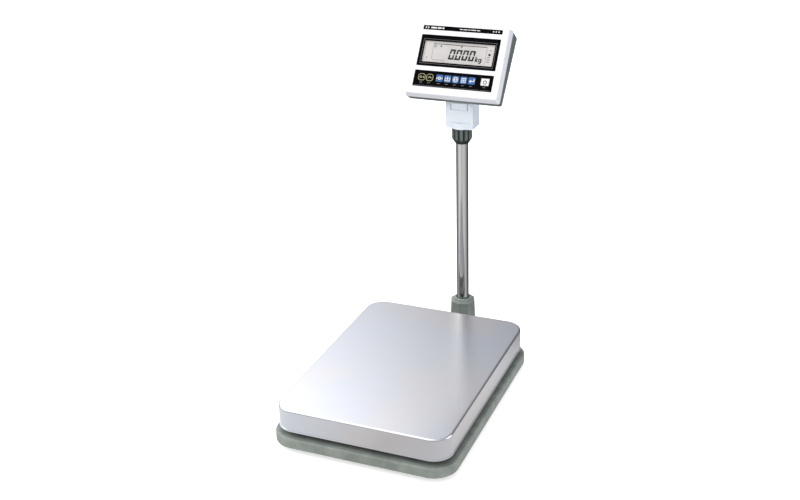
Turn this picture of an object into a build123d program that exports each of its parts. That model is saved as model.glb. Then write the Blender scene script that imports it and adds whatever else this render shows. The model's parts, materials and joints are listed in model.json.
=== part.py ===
from build123d import *
import math
import os

# Bench scale: a floor-standing base, a lift-off pan, a rear column and a tilting indicator.
# Millimetres. X to the operator's right, Y to the rear, Z up from the floor.
# The origin is on the floor, midway between the base's front edge and the indicator's rear.

# ---- driving dimensions: base and pan ----
PLATTER_Y = -73.486        # centre of the pan; puts the origin midway along the depth
PAN_WIDTH = 360.0
PAN_DEPTH = 495.0
PAN_CORNER = 39.0
PAN_TOP = 90.0             # height of the weighing surface
PAN_SKIRT = 46.3           # height of the folded skirt
PAN_SHEET = 1.2
PAN_BEND = 4.0             # outer bend radius at the top edge
HEM_HEIGHT = 3.0
HEM_PROUD = 0.7

BASE_MARGIN = 9.2          # how far the base shows around the pan
BASE_BOTTOM = 12.0
BASE_TOP = 32.6            # top of the rim
BASE_WALL = 4.0
RIM_WIDTH = 34.0
RIM_ROUND = 4.0
FLOOR_BOTTOM = 14.0
FLOOR_TOP = 18.0

# ---- driving dimensions: feet ----
FOOT_X = 144.0
FOOT_Y = 211.0
FOOT_STUD_R = 5.0
FOOT_BORE_R = 5.05
FOOT_PAD_R = 18.0
FOOT_PAD_HEIGHT = 8.0
FOOT_HEX_TOP = 12.0
FOOT_STUD_TOP = 50.0
FOOT_POCKET_R = 22.0
FOOT_BOSS_R = 13.0
FOOT_BOSS_BOTTOM = 20.0
FOOT_BOSS_TOP = 40.0

# ---- driving dimensions: load cell and platform ----
CELL_LENGTH = 150.0
CELL_WIDTH = 38.0
CELL_BOTTOM = 28.0
CELL_TOP = 60.0
CELL_END = 40.0            # length of each clamped end
PAD_UNDER_CELL = 24.0      # top of the mounting boss in the tray
SPIDER_BOTTOM = 64.0
SPIDER_TOP = 82.0
SPIDER_PAD_X = 140.0
SPIDER_PAD_Y = 205.0
STOP_X = 100.0
STOP_Y = 146.0
STOP_GAP = 0.6             # overload travel before a stop is reached

# ---- driving dimensions: column ----
COLUMN_Y = PLATTER_Y + 351.0
TUBE_R = 13.6              # 27.2 mm stainless tube
TUBE_WALL = 1.5
TUBE_BOTTOM = 30.0
TUBE_TOP = 486.0
SOCKET_ACROSS = 52.5       # across the flats at the top
SOCKET_DRAFT = 5.0         # extra width at the bottom
SOCKET_TOP = 78.0
ARM_HALF = 26.0
ARM_BOTTOM = 8.0
ARM_TOP = 28.0
TONGUE_FRONT = 170.0       # from the pan's centre

# ---- driving dimensions: clamp nut and swivel bracket ----
NUT_BOTTOM = 452.0
NUT_TOP = 487.0
NUT_R = 22.0
NUT_FLUTES = 12
STEM_R = 17.0
STEM_BOTTOM = 462.0
BRACKET_BOTTOM = 488.0
BLOCK_BOTTOM = 502.0
BLOCK_HALF = 31.0
BLOCK_FRONT = 18.5         # from the column's axis to the block's front face
BLOCK_REAR = 25.5
BLOCK_WALL = 2.0           # the wall across the front of the slot
SLOT_HALF = 19.5
SLOT_BOTTOM = 509.0
PIVOT_Z = 536.0
PIN_R = 4.0
KNUCKLE_HALF = 17.8
KNUCKLE_R = 18.3

# ---- driving dimensions: indicator ----
TILT = 34.7                # the face leans back from vertical at rest
FACE_Y = PLATTER_Y + 273.0
FACE_Z = 575.0             # height of the face plane's lower reference line
HEAD_WIDTH = 210.0
HEAD_BOTTOM = 1.0          # up the face from the reference line
HEAD_TOP = 163.0
PART_LINE = 18.0           # depth of the joint between the two shells
CASE_MIDDLE = 45.0         # depth at which the rear shell's straight sides end, half-way up
CASE_LEAN = 6.0            # those sides are deeper at the top by this angle
CASE_BACK = 62.0
CASE_CORNER = 4.5
BACK_WIDTH = 156.0
BACK_BOTTOM = 12.0
BACK_TOP = 140.0
SHELL_WALL = 2.5

DISPLAY_UP = 100.1
DISPLAY_SIZE = (175.0, 69.0)
WINDOW_UP = 98.1
WINDOW_SIZE = (155.5, 46.8)
KEYPAD_UP = 37.8
KEYPAD_SIZE = (174.5, 35.3)
LABEL_UP = 150.4
LABEL_SIZE = (175.5, 9.4)
KEY_ROW_UP = 40.4
KEY_PITCH = 17.8
KEY_TRAVEL = 0.6

CLEAR = 0.1                # gap between pieces that only sit together

FACE = Plane(
    origin=(0, FACE_Y, FACE_Z),
    x_dir=(1, 0, 0),
    z_dir=(0, -math.cos(math.radians(TILT)), math.sin(math.radians(TILT))),
)
CORNERS = [(sx, sy) for sy in (-1, 1) for sx in (-1, 1)]
HOME = (0, PLATTER_Y)
AXIS = (0, COLUMN_Y)

os.makedirs("parts", exist_ok=True)


def save(name, part):
    """Label a finished piece and write it as its own STEP file."""
    part.label = name
    export_step(part, f"parts/{name}.step")


def level(z):
    """The horizontal plane at height z."""
    return Plane.XY.offset(z)


def depth(d):
    """The plane parallel to the indicator's face, d behind it."""
    return FACE.offset(-d)


def around_pan(x, y):
    """The four places mirrored about the pan's centre."""
    return [(sx * x, PLATTER_Y + sy * y) for sx, sy in CORNERS]


def rods(places, radius, z0, z1):
    """Plain vertical rods from z0 to z1."""
    with BuildPart() as piece:
        with BuildSketch(level(z0)):
            with Locations(*places):
                Circle(radius)
        extrude(amount=z1 - z0)
    return piece.part


def hex_nuts(places, across, bore, z0, z1):
    """Hexagon nuts standing at the given places."""
    with BuildPart() as piece:
        with BuildSketch(level(z0)):
            with Locations(*places):
                RegularPolygon(across / 2, 6, major_radius=False)
                Circle(bore, mode=Mode.SUBTRACT)
        extrude(amount=z1 - z0)
    return piece.part


def cap_screws(places, radius, z_tip, z_seat, head_r, head_h, up=True):
    """Socket-head screws; the head is above the seat when up is true, else below it."""
    side = 1 if up else -1
    with BuildPart() as piece:
        with BuildSketch(level(z_tip)):
            with Locations(*places):
                Circle(radius)
        extrude(amount=z_seat - z_tip)
        with BuildSketch(level(z_seat)):
            with Locations(*places):
                Circle(head_r)
        extrude(amount=side * head_h)
        with BuildSketch(level(z_seat + side * head_h)):
            with Locations(*places):
                RegularPolygon(head_r * 0.5, 6, major_radius=False)
        extrude(amount=-side * head_h * 0.6, mode=Mode.SUBTRACT)
    return piece.part


def face_plate(size, up, d0, d1, corner):
    """A plate parallel to the face, from depth d0 to d1."""
    with BuildPart() as piece:
        with BuildSketch(depth(d0)):
            with Locations((0, up)):
                RectangleRounded(size[0], size[1], corner)
        extrude(amount=d0 - d1)
    return piece.part


def on_axis(radius):
    """A circle about the tilt axis, in a plane square to it."""
    with Locations((COLUMN_Y, PIVOT_Z)):
        Circle(radius)


def outline(width, height, up, corner):
    """A rounded rectangular outline of the indicator, up the face."""
    with Locations((0, up)):
        RectangleRounded(width, height, corner)


# ================= base =================
BASE_WIDTH = PAN_WIDTH + 2 * BASE_MARGIN
BASE_DEPTH = PAN_DEPTH + 2 * BASE_MARGIN
BASE_CORNER = PAN_CORNER + BASE_MARGIN
FEET = around_pan(FOOT_X, FOOT_Y)
STOPS = around_pan(STOP_X, STOP_Y)
CELL_FIXED_Y = PLATTER_Y + (CELL_LENGTH - CELL_END) / 2
CELL_LIVE_Y = PLATTER_Y - (CELL_LENGTH - CELL_END) / 2
CELL_BOLT_X = 12.0
CELL_BOLT_R = 4.0
CELL_FIXED_BOLTS = [(sx * CELL_BOLT_X, CELL_FIXED_Y) for sx in (-1, 1)]
CELL_LIVE_BOLTS = [(sx * CELL_BOLT_X, CELL_LIVE_Y) for sx in (-1, 1)]
BRACKET_BOLTS = [
    (sx * 20.0, PLATTER_Y + TONGUE_FRONT + step) for sx in (-1, 1) for step in (12.0, 40.0)
]
CABLE_R = 2.3
CABLE_HOLE_R = 4.0
CABLE_LOW_Z = 22.0
RIB_TOP = 26.0
CELL_MIDDLE = (CELL_BOTTOM + CELL_TOP) / 2


def base_outline(inset):
    """The base's plan outline, moved inwards by inset."""
    with Locations(HOME):
        RectangleRounded(
            BASE_WIDTH - 2 * inset, BASE_DEPTH - 2 * inset, max(BASE_CORNER - inset, 6.0)
        )


with BuildPart() as base_frame:
    with BuildSketch(level(BASE_BOTTOM)):
        base_outline(0)
    extrude(amount=BASE_TOP - BASE_BOTTOM)
    rim_edges = base_frame.faces().sort_by(Axis.Z)[-1].edges()
    fillet(rim_edges, RIM_ROUND)
    # the open tray inside the rim
    with BuildSketch(level(FLOOR_TOP)):
        base_outline(RIM_WIDTH)
    extrude(amount=BASE_TOP, mode=Mode.SUBTRACT)
    # the space under the floor
    with BuildSketch(level(BASE_BOTTOM)):
        base_outline(RIM_WIDTH - BASE_WALL)
    extrude(amount=FLOOR_BOTTOM - BASE_BOTTOM, mode=Mode.SUBTRACT)
    # the channel under the rim
    with BuildSketch(level(BASE_BOTTOM)):
        base_outline(BASE_WALL)
        with Locations(HOME):
            RectangleRounded(
                BASE_WIDTH - 2 * (RIM_WIDTH - BASE_WALL),
                BASE_DEPTH - 2 * (RIM_WIDTH - BASE_WALL),
                BASE_CORNER - RIM_WIDTH + BASE_WALL,
                mode=Mode.SUBTRACT,
            )
    extrude(amount=BASE_TOP - BASE_WALL - BASE_BOTTOM, mode=Mode.SUBTRACT)
    # stiffening ribs across the tray
    with BuildSketch(level(FLOOR_TOP)):
        with Locations(*[(0, PLATTER_Y + y) for y in (-160.0, -80.0, 112.0)]):
            Rectangle(BASE_WIDTH - 2 * RIM_WIDTH + 2, BASE_WALL)
        with Locations(*[(x, PLATTER_Y) for x in (-70.0, 70.0)]):
            Rectangle(BASE_WALL, BASE_DEPTH - 2 * RIM_WIDTH + 2)
    extrude(amount=RIB_TOP - FLOOR_TOP)
    # foot pockets and their bosses
    with BuildSketch(level(FLOOR_BOTTOM)):
        with Locations(*FEET):
            Circle(FOOT_POCKET_R + BASE_WALL)
    extrude(amount=FOOT_BOSS_BOTTOM + BASE_WALL - FLOOR_BOTTOM)
    with BuildSketch(level(BASE_BOTTOM)):
        with Locations(*FEET):
            Circle(FOOT_POCKET_R)
    extrude(amount=FOOT_BOSS_BOTTOM - BASE_BOTTOM, mode=Mode.SUBTRACT)
    with BuildSketch(level(FOOT_BOSS_BOTTOM)):
        with Locations(*FEET):
            Circle(FOOT_BOSS_R)
    extrude(amount=FOOT_BOSS_TOP - FOOT_BOSS_BOTTOM)
    with BuildSketch(level(FOOT_BOSS_BOTTOM)):
        with Locations(*FEET):
            Circle(FOOT_BORE_R)
    extrude(amount=FOOT_BOSS_TOP - FOOT_BOSS_BOTTOM, mode=Mode.SUBTRACT)
    # the raised seat for the load cell, the stop bosses and the bracket bolt bosses
    with BuildSketch(level(FLOOR_TOP)):
        with Locations((0, CELL_FIXED_Y)):
            Rectangle(CELL_WIDTH + 12, CELL_END + 12)
        with Locations(*STOPS):
            Circle(9.0)
        with Locations(*BRACKET_BOLTS):
            Circle(7.0)
    extrude(amount=PAD_UNDER_CELL - FLOOR_TOP)
    # threaded and clearance holes through the floor
    with BuildSketch(level(BASE_BOTTOM)):
        with Locations(*CELL_FIXED_BOLTS):
            Circle(CELL_BOLT_R + CLEAR)
        with Locations(*STOPS):
            Circle(4.0 + CLEAR)
        with Locations(*BRACKET_BOLTS):
            Circle(3.0 + CLEAR)
    extrude(amount=PAD_UNDER_CELL - BASE_BOTTOM, mode=Mode.SUBTRACT)
    # drain holes in the tray
    with BuildSketch(level(FLOOR_BOTTOM)):
        with Locations(*around_pan(105.0, 60.0)):
            Circle(8.0)
    extrude(amount=FLOOR_TOP - FLOOR_BOTTOM, mode=Mode.SUBTRACT)
    # the opening for the column bracket in the rear wall
    with BuildSketch(level(BASE_BOTTOM)):
        with Locations((0, PLATTER_Y + BASE_DEPTH / 2 - BASE_WALL / 2)):
            Rectangle(2 * ARM_HALF + 1, BASE_WALL + 2)
    extrude(amount=BASE_TOP - BASE_WALL - BASE_BOTTOM, mode=Mode.SUBTRACT)
    # the cable hole through the inner rear wall
    with BuildSketch(Plane.XZ.offset(-(PLATTER_Y + BASE_DEPTH / 2 - RIM_WIDTH - 2))):
        with Locations((0, CABLE_LOW_Z)):
            Circle(CABLE_HOLE_R)
    extrude(amount=-(BASE_WALL + 4), mode=Mode.SUBTRACT)
save("base_frame", base_frame.part)

# ================= feet =================
for number, place in enumerate(FEET, start=1):
    with BuildPart() as foot_pad:
        with BuildSketch(level(0)):
            with Locations(place):
                Circle(FOOT_PAD_R)
        extrude(amount=FOOT_PAD_HEIGHT, taper=8)
        with BuildSketch(level(FOOT_PAD_HEIGHT)):
            with Locations(place):
                Circle(FOOT_STUD_R + 0.05)
        extrude(amount=-5.0, mode=Mode.SUBTRACT)
        fillet(foot_pad.faces().sort_by(Axis.Z)[0].edges(), 1.2)
    save(f"foot_pad_{number}", foot_pad.part)

    with BuildPart() as foot_stud:
        with BuildSketch(level(FOOT_PAD_HEIGHT - 5.0)):
            with Locations(place):
                Circle(FOOT_STUD_R)
        extrude(amount=FOOT_STUD_TOP - FOOT_PAD_HEIGHT + 5.0)
        chamfer(foot_stud.faces().sort_by(Axis.Z)[-1].edges(), 1.0)
        with BuildSketch(level(FOOT_PAD_HEIGHT + CLEAR)):
            with Locations(place):
                RegularPolygon(7.5, 6, major_radius=False)
        extrude(amount=FOOT_HEX_TOP - FOOT_PAD_HEIGHT - CLEAR)
    save(f"foot_stud_{number}", foot_stud.part)

save("foot_lock_nuts", hex_nuts(FEET, 17.0, FOOT_BORE_R, FOOT_BOSS_BOTTOM - 5.1, FOOT_BOSS_BOTTOM))

# ================= load cell =================
with BuildPart() as load_cell:
    with BuildSketch(level(CELL_BOTTOM)):
        with Locations(HOME):
            Rectangle(CELL_WIDTH, CELL_LENGTH)
    extrude(amount=CELL_TOP - CELL_BOTTOM)
    chamfer(load_cell.edges().filter_by(Axis.Z), 1.5)
    # the double hole that lets the two beams bend
    with BuildSketch(Plane.YZ.offset(-CELL_WIDTH)):
        with Locations((PLATTER_Y - 18.0, CELL_MIDDLE), (PLATTER_Y + 18.0, CELL_MIDDLE)):
            Circle(13.0)
        with Locations((PLATTER_Y, CELL_MIDDLE)):
            Rectangle(36.0, 9.0)
    extrude(amount=2 * CELL_WIDTH, mode=Mode.SUBTRACT)
    # threaded holes, from below at the fixed end and from above at the live end
    with BuildSketch(level(CELL_BOTTOM)):
        with Locations(*CELL_FIXED_BOLTS):
            Circle(CELL_BOLT_R)
    extrude(amount=20.0, mode=Mode.SUBTRACT)
    with BuildSketch(level(CELL_TOP)):
        with Locations(*CELL_LIVE_BOLTS):
            Circle(CELL_BOLT_R)
    extrude(amount=-20.0, mode=Mode.SUBTRACT)
save("load_cell", load_cell.part)


def cell_spacer(centre_y, bolts, z0, z1):
    """A steel spacer plate between the cell's clamped end and its seat."""
    with BuildPart() as piece:
        with BuildSketch(level(z0)):
            with Locations((0, centre_y)):
                Rectangle(CELL_WIDTH, CELL_END)
            with Locations(*bolts):
                Circle(CELL_BOLT_R + CLEAR, mode=Mode.SUBTRACT)
        extrude(amount=z1 - z0)
        chamfer(piece.edges().filter_by(Axis.Z).filter_by(GeomType.LINE), 1.5)
    return piece.part


save("load_cell_spacer", cell_spacer(CELL_FIXED_Y, CELL_FIXED_BOLTS, PAD_UNDER_CELL, CELL_BOTTOM))
save("spider_spacer", cell_spacer(CELL_LIVE_Y, CELL_LIVE_BOLTS, CELL_TOP, SPIDER_BOTTOM))
save(
    "load_cell_screws",
    cap_screws(CELL_FIXED_BOLTS, CELL_BOLT_R - 0.02, CELL_BOTTOM + 16, FLOOR_BOTTOM, 6.5, 5.0, up=False),
)
SPIDER_PLATE_TOP = SPIDER_BOTTOM + 8.0
save(
    "spider_screws",
    cap_screws(CELL_LIVE_BOLTS, CELL_BOLT_R - 0.02, CELL_TOP - 16, SPIDER_PLATE_TOP, 6.5, 8.0),
)

# ================= overload stops =================
STOP_TOP = SPIDER_BOTTOM - STOP_GAP
save("overload_stops", rods(STOPS, 4.0, FLOOR_BOTTOM, STOP_TOP))
save("overload_stop_nuts", hex_nuts(STOPS, 13.0, 4.05, PAD_UNDER_CELL, PAD_UNDER_CELL + 6.5))

# ================= platform that carries the pan =================
SPIDER_PADS = around_pan(SPIDER_PAD_X, SPIDER_PAD_Y)
PAD_RECESS = 2.0
with BuildPart() as spider_frame:
    with BuildSketch(level(SPIDER_BOTTOM)):
        with Locations(HOME):
            Rectangle(2 * SPIDER_PAD_X + 10, 2 * SPIDER_PAD_Y + 10)
            Rectangle(2 * SPIDER_PAD_X - 10, 2 * SPIDER_PAD_Y - 10, mode=Mode.SUBTRACT)
            Rectangle(10.0, 2 * SPIDER_PAD_Y)
            Rectangle(2 * SPIDER_PAD_X, 10.0)
        with Locations((0, PLATTER_Y + STOP_Y), (0, PLATTER_Y - STOP_Y)):
            Rectangle(2 * SPIDER_PAD_X, 22.0)
        with Locations(*SPIDER_PADS):
            Circle(22.0)
    extrude(amount=SPIDER_TOP - SPIDER_BOTTOM)
    # the thick plate over the live end of the cell
    with BuildSketch(level(SPIDER_BOTTOM)):
        with Locations((0, CELL_LIVE_Y)):
            Rectangle(96.0, 76.0)
    extrude(amount=SPIDER_PLATE_TOP - SPIDER_BOTTOM)
    # room for the screw heads in the ribs above the plate
    with BuildSketch(level(SPIDER_PLATE_TOP)):
        with Locations((0, CELL_LIVE_Y)):
            Rectangle(44.0, 24.0)
    extrude(amount=SPIDER_TOP, mode=Mode.SUBTRACT)
    with BuildSketch(level(SPIDER_BOTTOM)):
        with Locations(*CELL_LIVE_BOLTS):
            Circle(CELL_BOLT_R + CLEAR)
    extrude(amount=SPIDER_PLATE_TOP - SPIDER_BOTTOM, mode=Mode.SUBTRACT)
    # the seats of the rubber pads
    with BuildSketch(level(SPIDER_TOP - PAD_RECESS)):
        with Locations(*SPIDER_PADS):
            Circle(16.1)
    extrude(amount=PAD_RECESS, mode=Mode.SUBTRACT)
save("spider_frame", spider_frame.part)
save("spider_pads", rods(SPIDER_PADS, 16.0, SPIDER_TOP - PAD_RECESS, PAN_TOP - PAN_SHEET))

# ================= pan =================
PAN_BOTTOM = PAN_TOP - PAN_SKIRT
with BuildPart() as pan_hollow:
    with BuildSketch(level(PAN_BOTTOM)):
        with Locations(HOME):
            RectangleRounded(
                PAN_WIDTH - 2 * PAN_SHEET, PAN_DEPTH - 2 * PAN_SHEET, PAN_CORNER - PAN_SHEET
            )
    extrude(amount=PAN_SKIRT - PAN_SHEET)
    fillet(pan_hollow.faces().sort_by(Axis.Z)[-1].edges(), PAN_BEND - PAN_SHEET)

with BuildPart() as platter:
    with BuildSketch(level(PAN_BOTTOM)):
        with Locations(HOME):
            RectangleRounded(PAN_WIDTH, PAN_DEPTH, PAN_CORNER)
    extrude(amount=PAN_SKIRT)
    fillet(platter.faces().sort_by(Axis.Z)[-1].edges(), PAN_BEND)
    # the hem folded round the bottom edge
    with BuildSketch(level(PAN_BOTTOM)):
        with Locations(HOME):
            RectangleRounded(PAN_WIDTH + 2 * HEM_PROUD, PAN_DEPTH + 2 * HEM_PROUD, PAN_CORNER + HEM_PROUD)
    extrude(amount=HEM_HEIGHT)
    add(pan_hollow.part, mode=Mode.SUBTRACT)
save("platter", platter.part)

# ================= bubble level =================
LEVEL_AT = (122.0, PLATTER_Y + 160.0)
with BuildPart() as level_housing:
    with BuildSketch(level(FLOOR_TOP)):
        with Locations(LEVEL_AT):
            Circle(15.0)
    extrude(amount=13.0)
    with BuildSketch(level(FLOOR_TOP + 3.0)):
        with Locations(LEVEL_AT):
            Circle(11.1)
    extrude(amount=10.0, mode=Mode.SUBTRACT)
    chamfer(level_housing.faces().sort_by(Axis.Z)[-1].edges().sort_by(SortBy.LENGTH)[-1], 1.0)
save("level_housing", level_housing.part)
save("level_vial", rods([LEVEL_AT], 11.0, FLOOR_TOP + 3.0, FLOOR_TOP + 12.5))

# ================= column bracket =================
TONGUE_TOP = FLOOR_BOTTOM
ARM_FRONT = PLATTER_Y + BASE_DEPTH / 2 - RIM_WIDTH + BASE_WALL + 1.3
SOCKET_SHOULDER = SOCKET_TOP - 4.0
COLLAR_ACROSS = 40.0
MOUTH_DEPTH = 3.0
MOUTH_GAP = 2.2
SOCKET_TAPER = math.degrees(math.atan(SOCKET_DRAFT / 2 / (SOCKET_SHOULDER - ARM_BOTTOM)))
SET_SCREW_Z = (44.0, 60.0)
ARM_CAVITY_BOTTOM = 12.0
ARM_CAVITY_TOP = 25.0
with BuildPart() as column_bracket:
    # the octagonal socket, a vertex on the X axis
    with BuildSketch(level(ARM_BOTTOM)):
        with Locations(AXIS):
            RegularPolygon((SOCKET_ACROSS + SOCKET_DRAFT) / 2, 8, major_radius=False)
    extrude(amount=SOCKET_SHOULDER - ARM_BOTTOM, taper=SOCKET_TAPER)
    chamfer(column_bracket.faces().sort_by(Axis.Z)[-1].edges(), 3.5)
    with BuildSketch(level(SOCKET_SHOULDER)):
        with Locations(AXIS):
            RegularPolygon(COLLAR_ACROSS / 2, 8, major_radius=False)
    extrude(amount=SOCKET_TOP - SOCKET_SHOULDER)
    chamfer(column_bracket.faces().sort_by(Axis.Z)[-1].edges(), 2.0)
    # the hollow arm between the base and the socket
    with BuildSketch(level(ARM_BOTTOM)):
        with Locations((0, (ARM_FRONT + COLUMN_Y) / 2)):
            Rectangle(2 * ARM_HALF, COLUMN_Y - ARM_FRONT)
    extrude(amount=ARM_TOP - ARM_BOTTOM)
    # the flat tongue bolted under the tray
    with BuildSketch(level(ARM_BOTTOM)):
        with Locations((0, (PLATTER_Y + TONGUE_FRONT + ARM_FRONT + 2) / 2)):
            Rectangle(2 * ARM_HALF, ARM_FRONT + 2 - PLATTER_Y - TONGUE_FRONT)
    extrude(amount=TONGUE_TOP - ARM_BOTTOM)
    with BuildSketch(level(ARM_CAVITY_BOTTOM)):
        with Locations((0, (ARM_FRONT + COLUMN_Y) / 2)):
            Rectangle(2 * ARM_HALF - 8, COLUMN_Y - ARM_FRONT)
        with Locations(AXIS):
            Circle(18.0)
    extrude(amount=ARM_CAVITY_TOP - ARM_CAVITY_BOTTOM, mode=Mode.SUBTRACT)
    # the bore for the tube, with a ledge for it to stand on
    with BuildSketch(level(ARM_BOTTOM + 4)):
        with Locations(AXIS):
            Circle(9.0)
    extrude(amount=SOCKET_TOP, mode=Mode.SUBTRACT)
    with BuildSketch(level(TUBE_BOTTOM)):
        with Locations(AXIS):
            Circle(TUBE_R + 0.02)
    extrude(amount=SOCKET_TOP, mode=Mode.SUBTRACT)
    # the mouth of the bore, open around the tube
    with BuildSketch(level(SOCKET_TOP - MOUTH_DEPTH)):
        with Locations(AXIS):
            Circle(TUBE_R + MOUTH_GAP)
    extrude(amount=MOUTH_DEPTH, mode=Mode.SUBTRACT)
    with BuildSketch(level(ARM_BOTTOM)):
        with Locations(*BRACKET_BOLTS):
            Circle(3.0 + CLEAR)
    extrude(amount=TONGUE_TOP - ARM_BOTTOM, mode=Mode.SUBTRACT)
    # threaded holes for the two set screws, from the rear
    with BuildSketch(Plane.XZ.offset(-(COLUMN_Y + TUBE_R))):
        with Locations(*[(0, z) for z in SET_SCREW_Z]):
            Circle(3.0)
    extrude(amount=-30.0, mode=Mode.SUBTRACT)
save("column_bracket", column_bracket.part)
save(
    "bracket_screws",
    cap_screws(BRACKET_BOLTS, 3.0, PAD_UNDER_CELL + 2, ARM_BOTTOM, 5.0, 3.2, up=False),
)

with BuildPart() as column_set_screws:
    with BuildSketch(Plane.XZ.offset(-(COLUMN_Y + TUBE_R + 0.03))):
        with Locations(*[(0, z) for z in SET_SCREW_Z]):
            Circle(2.98)
    extrude(amount=-9.0)
    with BuildSketch(Plane.XZ.offset(-(COLUMN_Y + TUBE_R + 9.03))):
        with Locations(*[(0, z) for z in SET_SCREW_Z]):
            RegularPolygon(1.5, 6, major_radius=False)
    extrude(amount=3.0, mode=Mode.SUBTRACT)
save("column_set_screws", column_set_screws.part)

with BuildPart() as column_tube:
    with BuildSketch(level(TUBE_BOTTOM)):
        with Locations(AXIS):
            Circle(TUBE_R)
            Circle(TUBE_R - TUBE_WALL, mode=Mode.SUBTRACT)
    extrude(amount=TUBE_TOP - TUBE_BOTTOM)
save("column_tube", column_tube.part)

# ================= signal cable, from the load cell to the top of the column =================
CABLE_X = 36.0
CABLE_HIGH_Z = 32.0
with BuildPart() as signal_cable:
    with BuildLine():
        cable_path = FilletPolyline(
            (CELL_WIDTH / 2 + 0.2, CELL_FIXED_Y, 44.0),
            (CABLE_X, CELL_FIXED_Y, 44.0),
            (CABLE_X, CELL_FIXED_Y, CABLE_HIGH_Z),
            (CABLE_X, PLATTER_Y + 122.0, CABLE_HIGH_Z),
            (0, PLATTER_Y + 168.0, CABLE_LOW_Z),
            (0, COLUMN_Y, CABLE_LOW_Z),
            (0, COLUMN_Y, TUBE_TOP - 4.0),
            radius=5.0,
        )
    with BuildSketch(Plane(origin=cable_path @ 0, z_dir=cable_path % 0)):
        Circle(CABLE_R)
    sweep()
save("signal_cable", signal_cable.part)

# ================= clamp nut and its washer =================
NUT_WEB_TOP = NUT_BOTTOM + 6.5
NUT_SHOULDER = NUT_TOP - 24.5
FLUTE_R = 3.6
FLUTE_DEPTH = 2.0
with BuildPart() as clamp_nut:
    with BuildSketch(Plane.XZ.offset(-COLUMN_Y)):
        with BuildLine():
            Polyline(
                (TUBE_R + 0.1, NUT_BOTTOM),
                (TUBE_R + 1.0, NUT_BOTTOM),
                (NUT_R - 2.6, NUT_SHOULDER - 3.6),
            )
            ThreePointArc(
                (NUT_R - 2.6, NUT_SHOULDER - 3.6),
                (NUT_R - 0.7, NUT_SHOULDER - 0.4),
                (NUT_R, NUT_SHOULDER + 3.4),
            )
            Polyline(
                (NUT_R, NUT_SHOULDER + 3.4),
                (NUT_R, NUT_TOP - 1.2),
                (NUT_R - 1.2, NUT_TOP),
                (STEM_R + 0.1, NUT_TOP),
                (STEM_R + 0.1, NUT_WEB_TOP),
                (TUBE_R + 0.1, NUT_WEB_TOP),
                (TUBE_R + 0.1, NUT_BOTTOM),
            )
        make_face()
    revolve(axis=Axis((0, COLUMN_Y, 0), (0, 0, 1)))
    with BuildSketch(level(NUT_BOTTOM)):
        with Locations(AXIS):
            with PolarLocations(NUT_R + FLUTE_R - FLUTE_DEPTH, NUT_FLUTES):
                Circle(FLUTE_R)
    extrude(amount=NUT_TOP - NUT_BOTTOM, mode=Mode.SUBTRACT)
save("clamp_nut", clamp_nut.part)

with BuildPart() as clamp_washer:
    with BuildSketch(level(NUT_WEB_TOP)):
        with Locations(AXIS):
            Circle(STEM_R - 0.4)
            Circle(TUBE_R + 0.1, mode=Mode.SUBTRACT)
    extrude(amount=STEM_BOTTOM - NUT_WEB_TOP)
    chamfer(clamp_washer.faces().sort_by(Axis.Z)[-1].edges(), 0.6)
save("clamp_washer", clamp_washer.part)

# ================= swivel bracket =================
BOSS_R = 23.5
FLANGE_BOTTOM = 489.5
FLANGE_HALF = 32.0
FLANGE_CORNER = 7.0
FLANGE_MARGIN = 3.0        # how far the flange stands out from the block, front and rear
GROOVES = (FLANGE_BOTTOM + 3.0, FLANGE_BOTTOM + 7.5)
GROOVE_DEPTH = 1.3
GROOVE_HEIGHT = 1.5
WALL_TOP = 530.0
HEAD_RECESS = 6.0
PIN_RECESS_R = 8.2
PASSAGE_R = 8.0
SLIT_WIDTH = 2.0
SLIT_HEIGHT = 18.0
KNUCKLE_GAP = 0.3
BLOCK_DEPTH = BLOCK_FRONT + BLOCK_REAR
BLOCK_AT = (0, COLUMN_Y + (BLOCK_REAR - BLOCK_FRONT) / 2)
EAR_WIDTH = BLOCK_REAR + 12.0
EAR_HEIGHT = 42.5
EAR_CORNER = 12.0
EAR_AT = (COLUMN_Y + BLOCK_REAR - EAR_WIDTH / 2, PIVOT_Z + BLOCK_FRONT - EAR_HEIGHT / 2)


def flange_outline(inset, mode):
    """The flange's plan outline, moved inwards by inset."""
    with Locations(BLOCK_AT):
        RectangleRounded(
            2 * (FLANGE_HALF - inset),
            BLOCK_DEPTH + 2 * (FLANGE_MARGIN - inset),
            FLANGE_CORNER - inset,
            mode=mode,
        )


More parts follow.
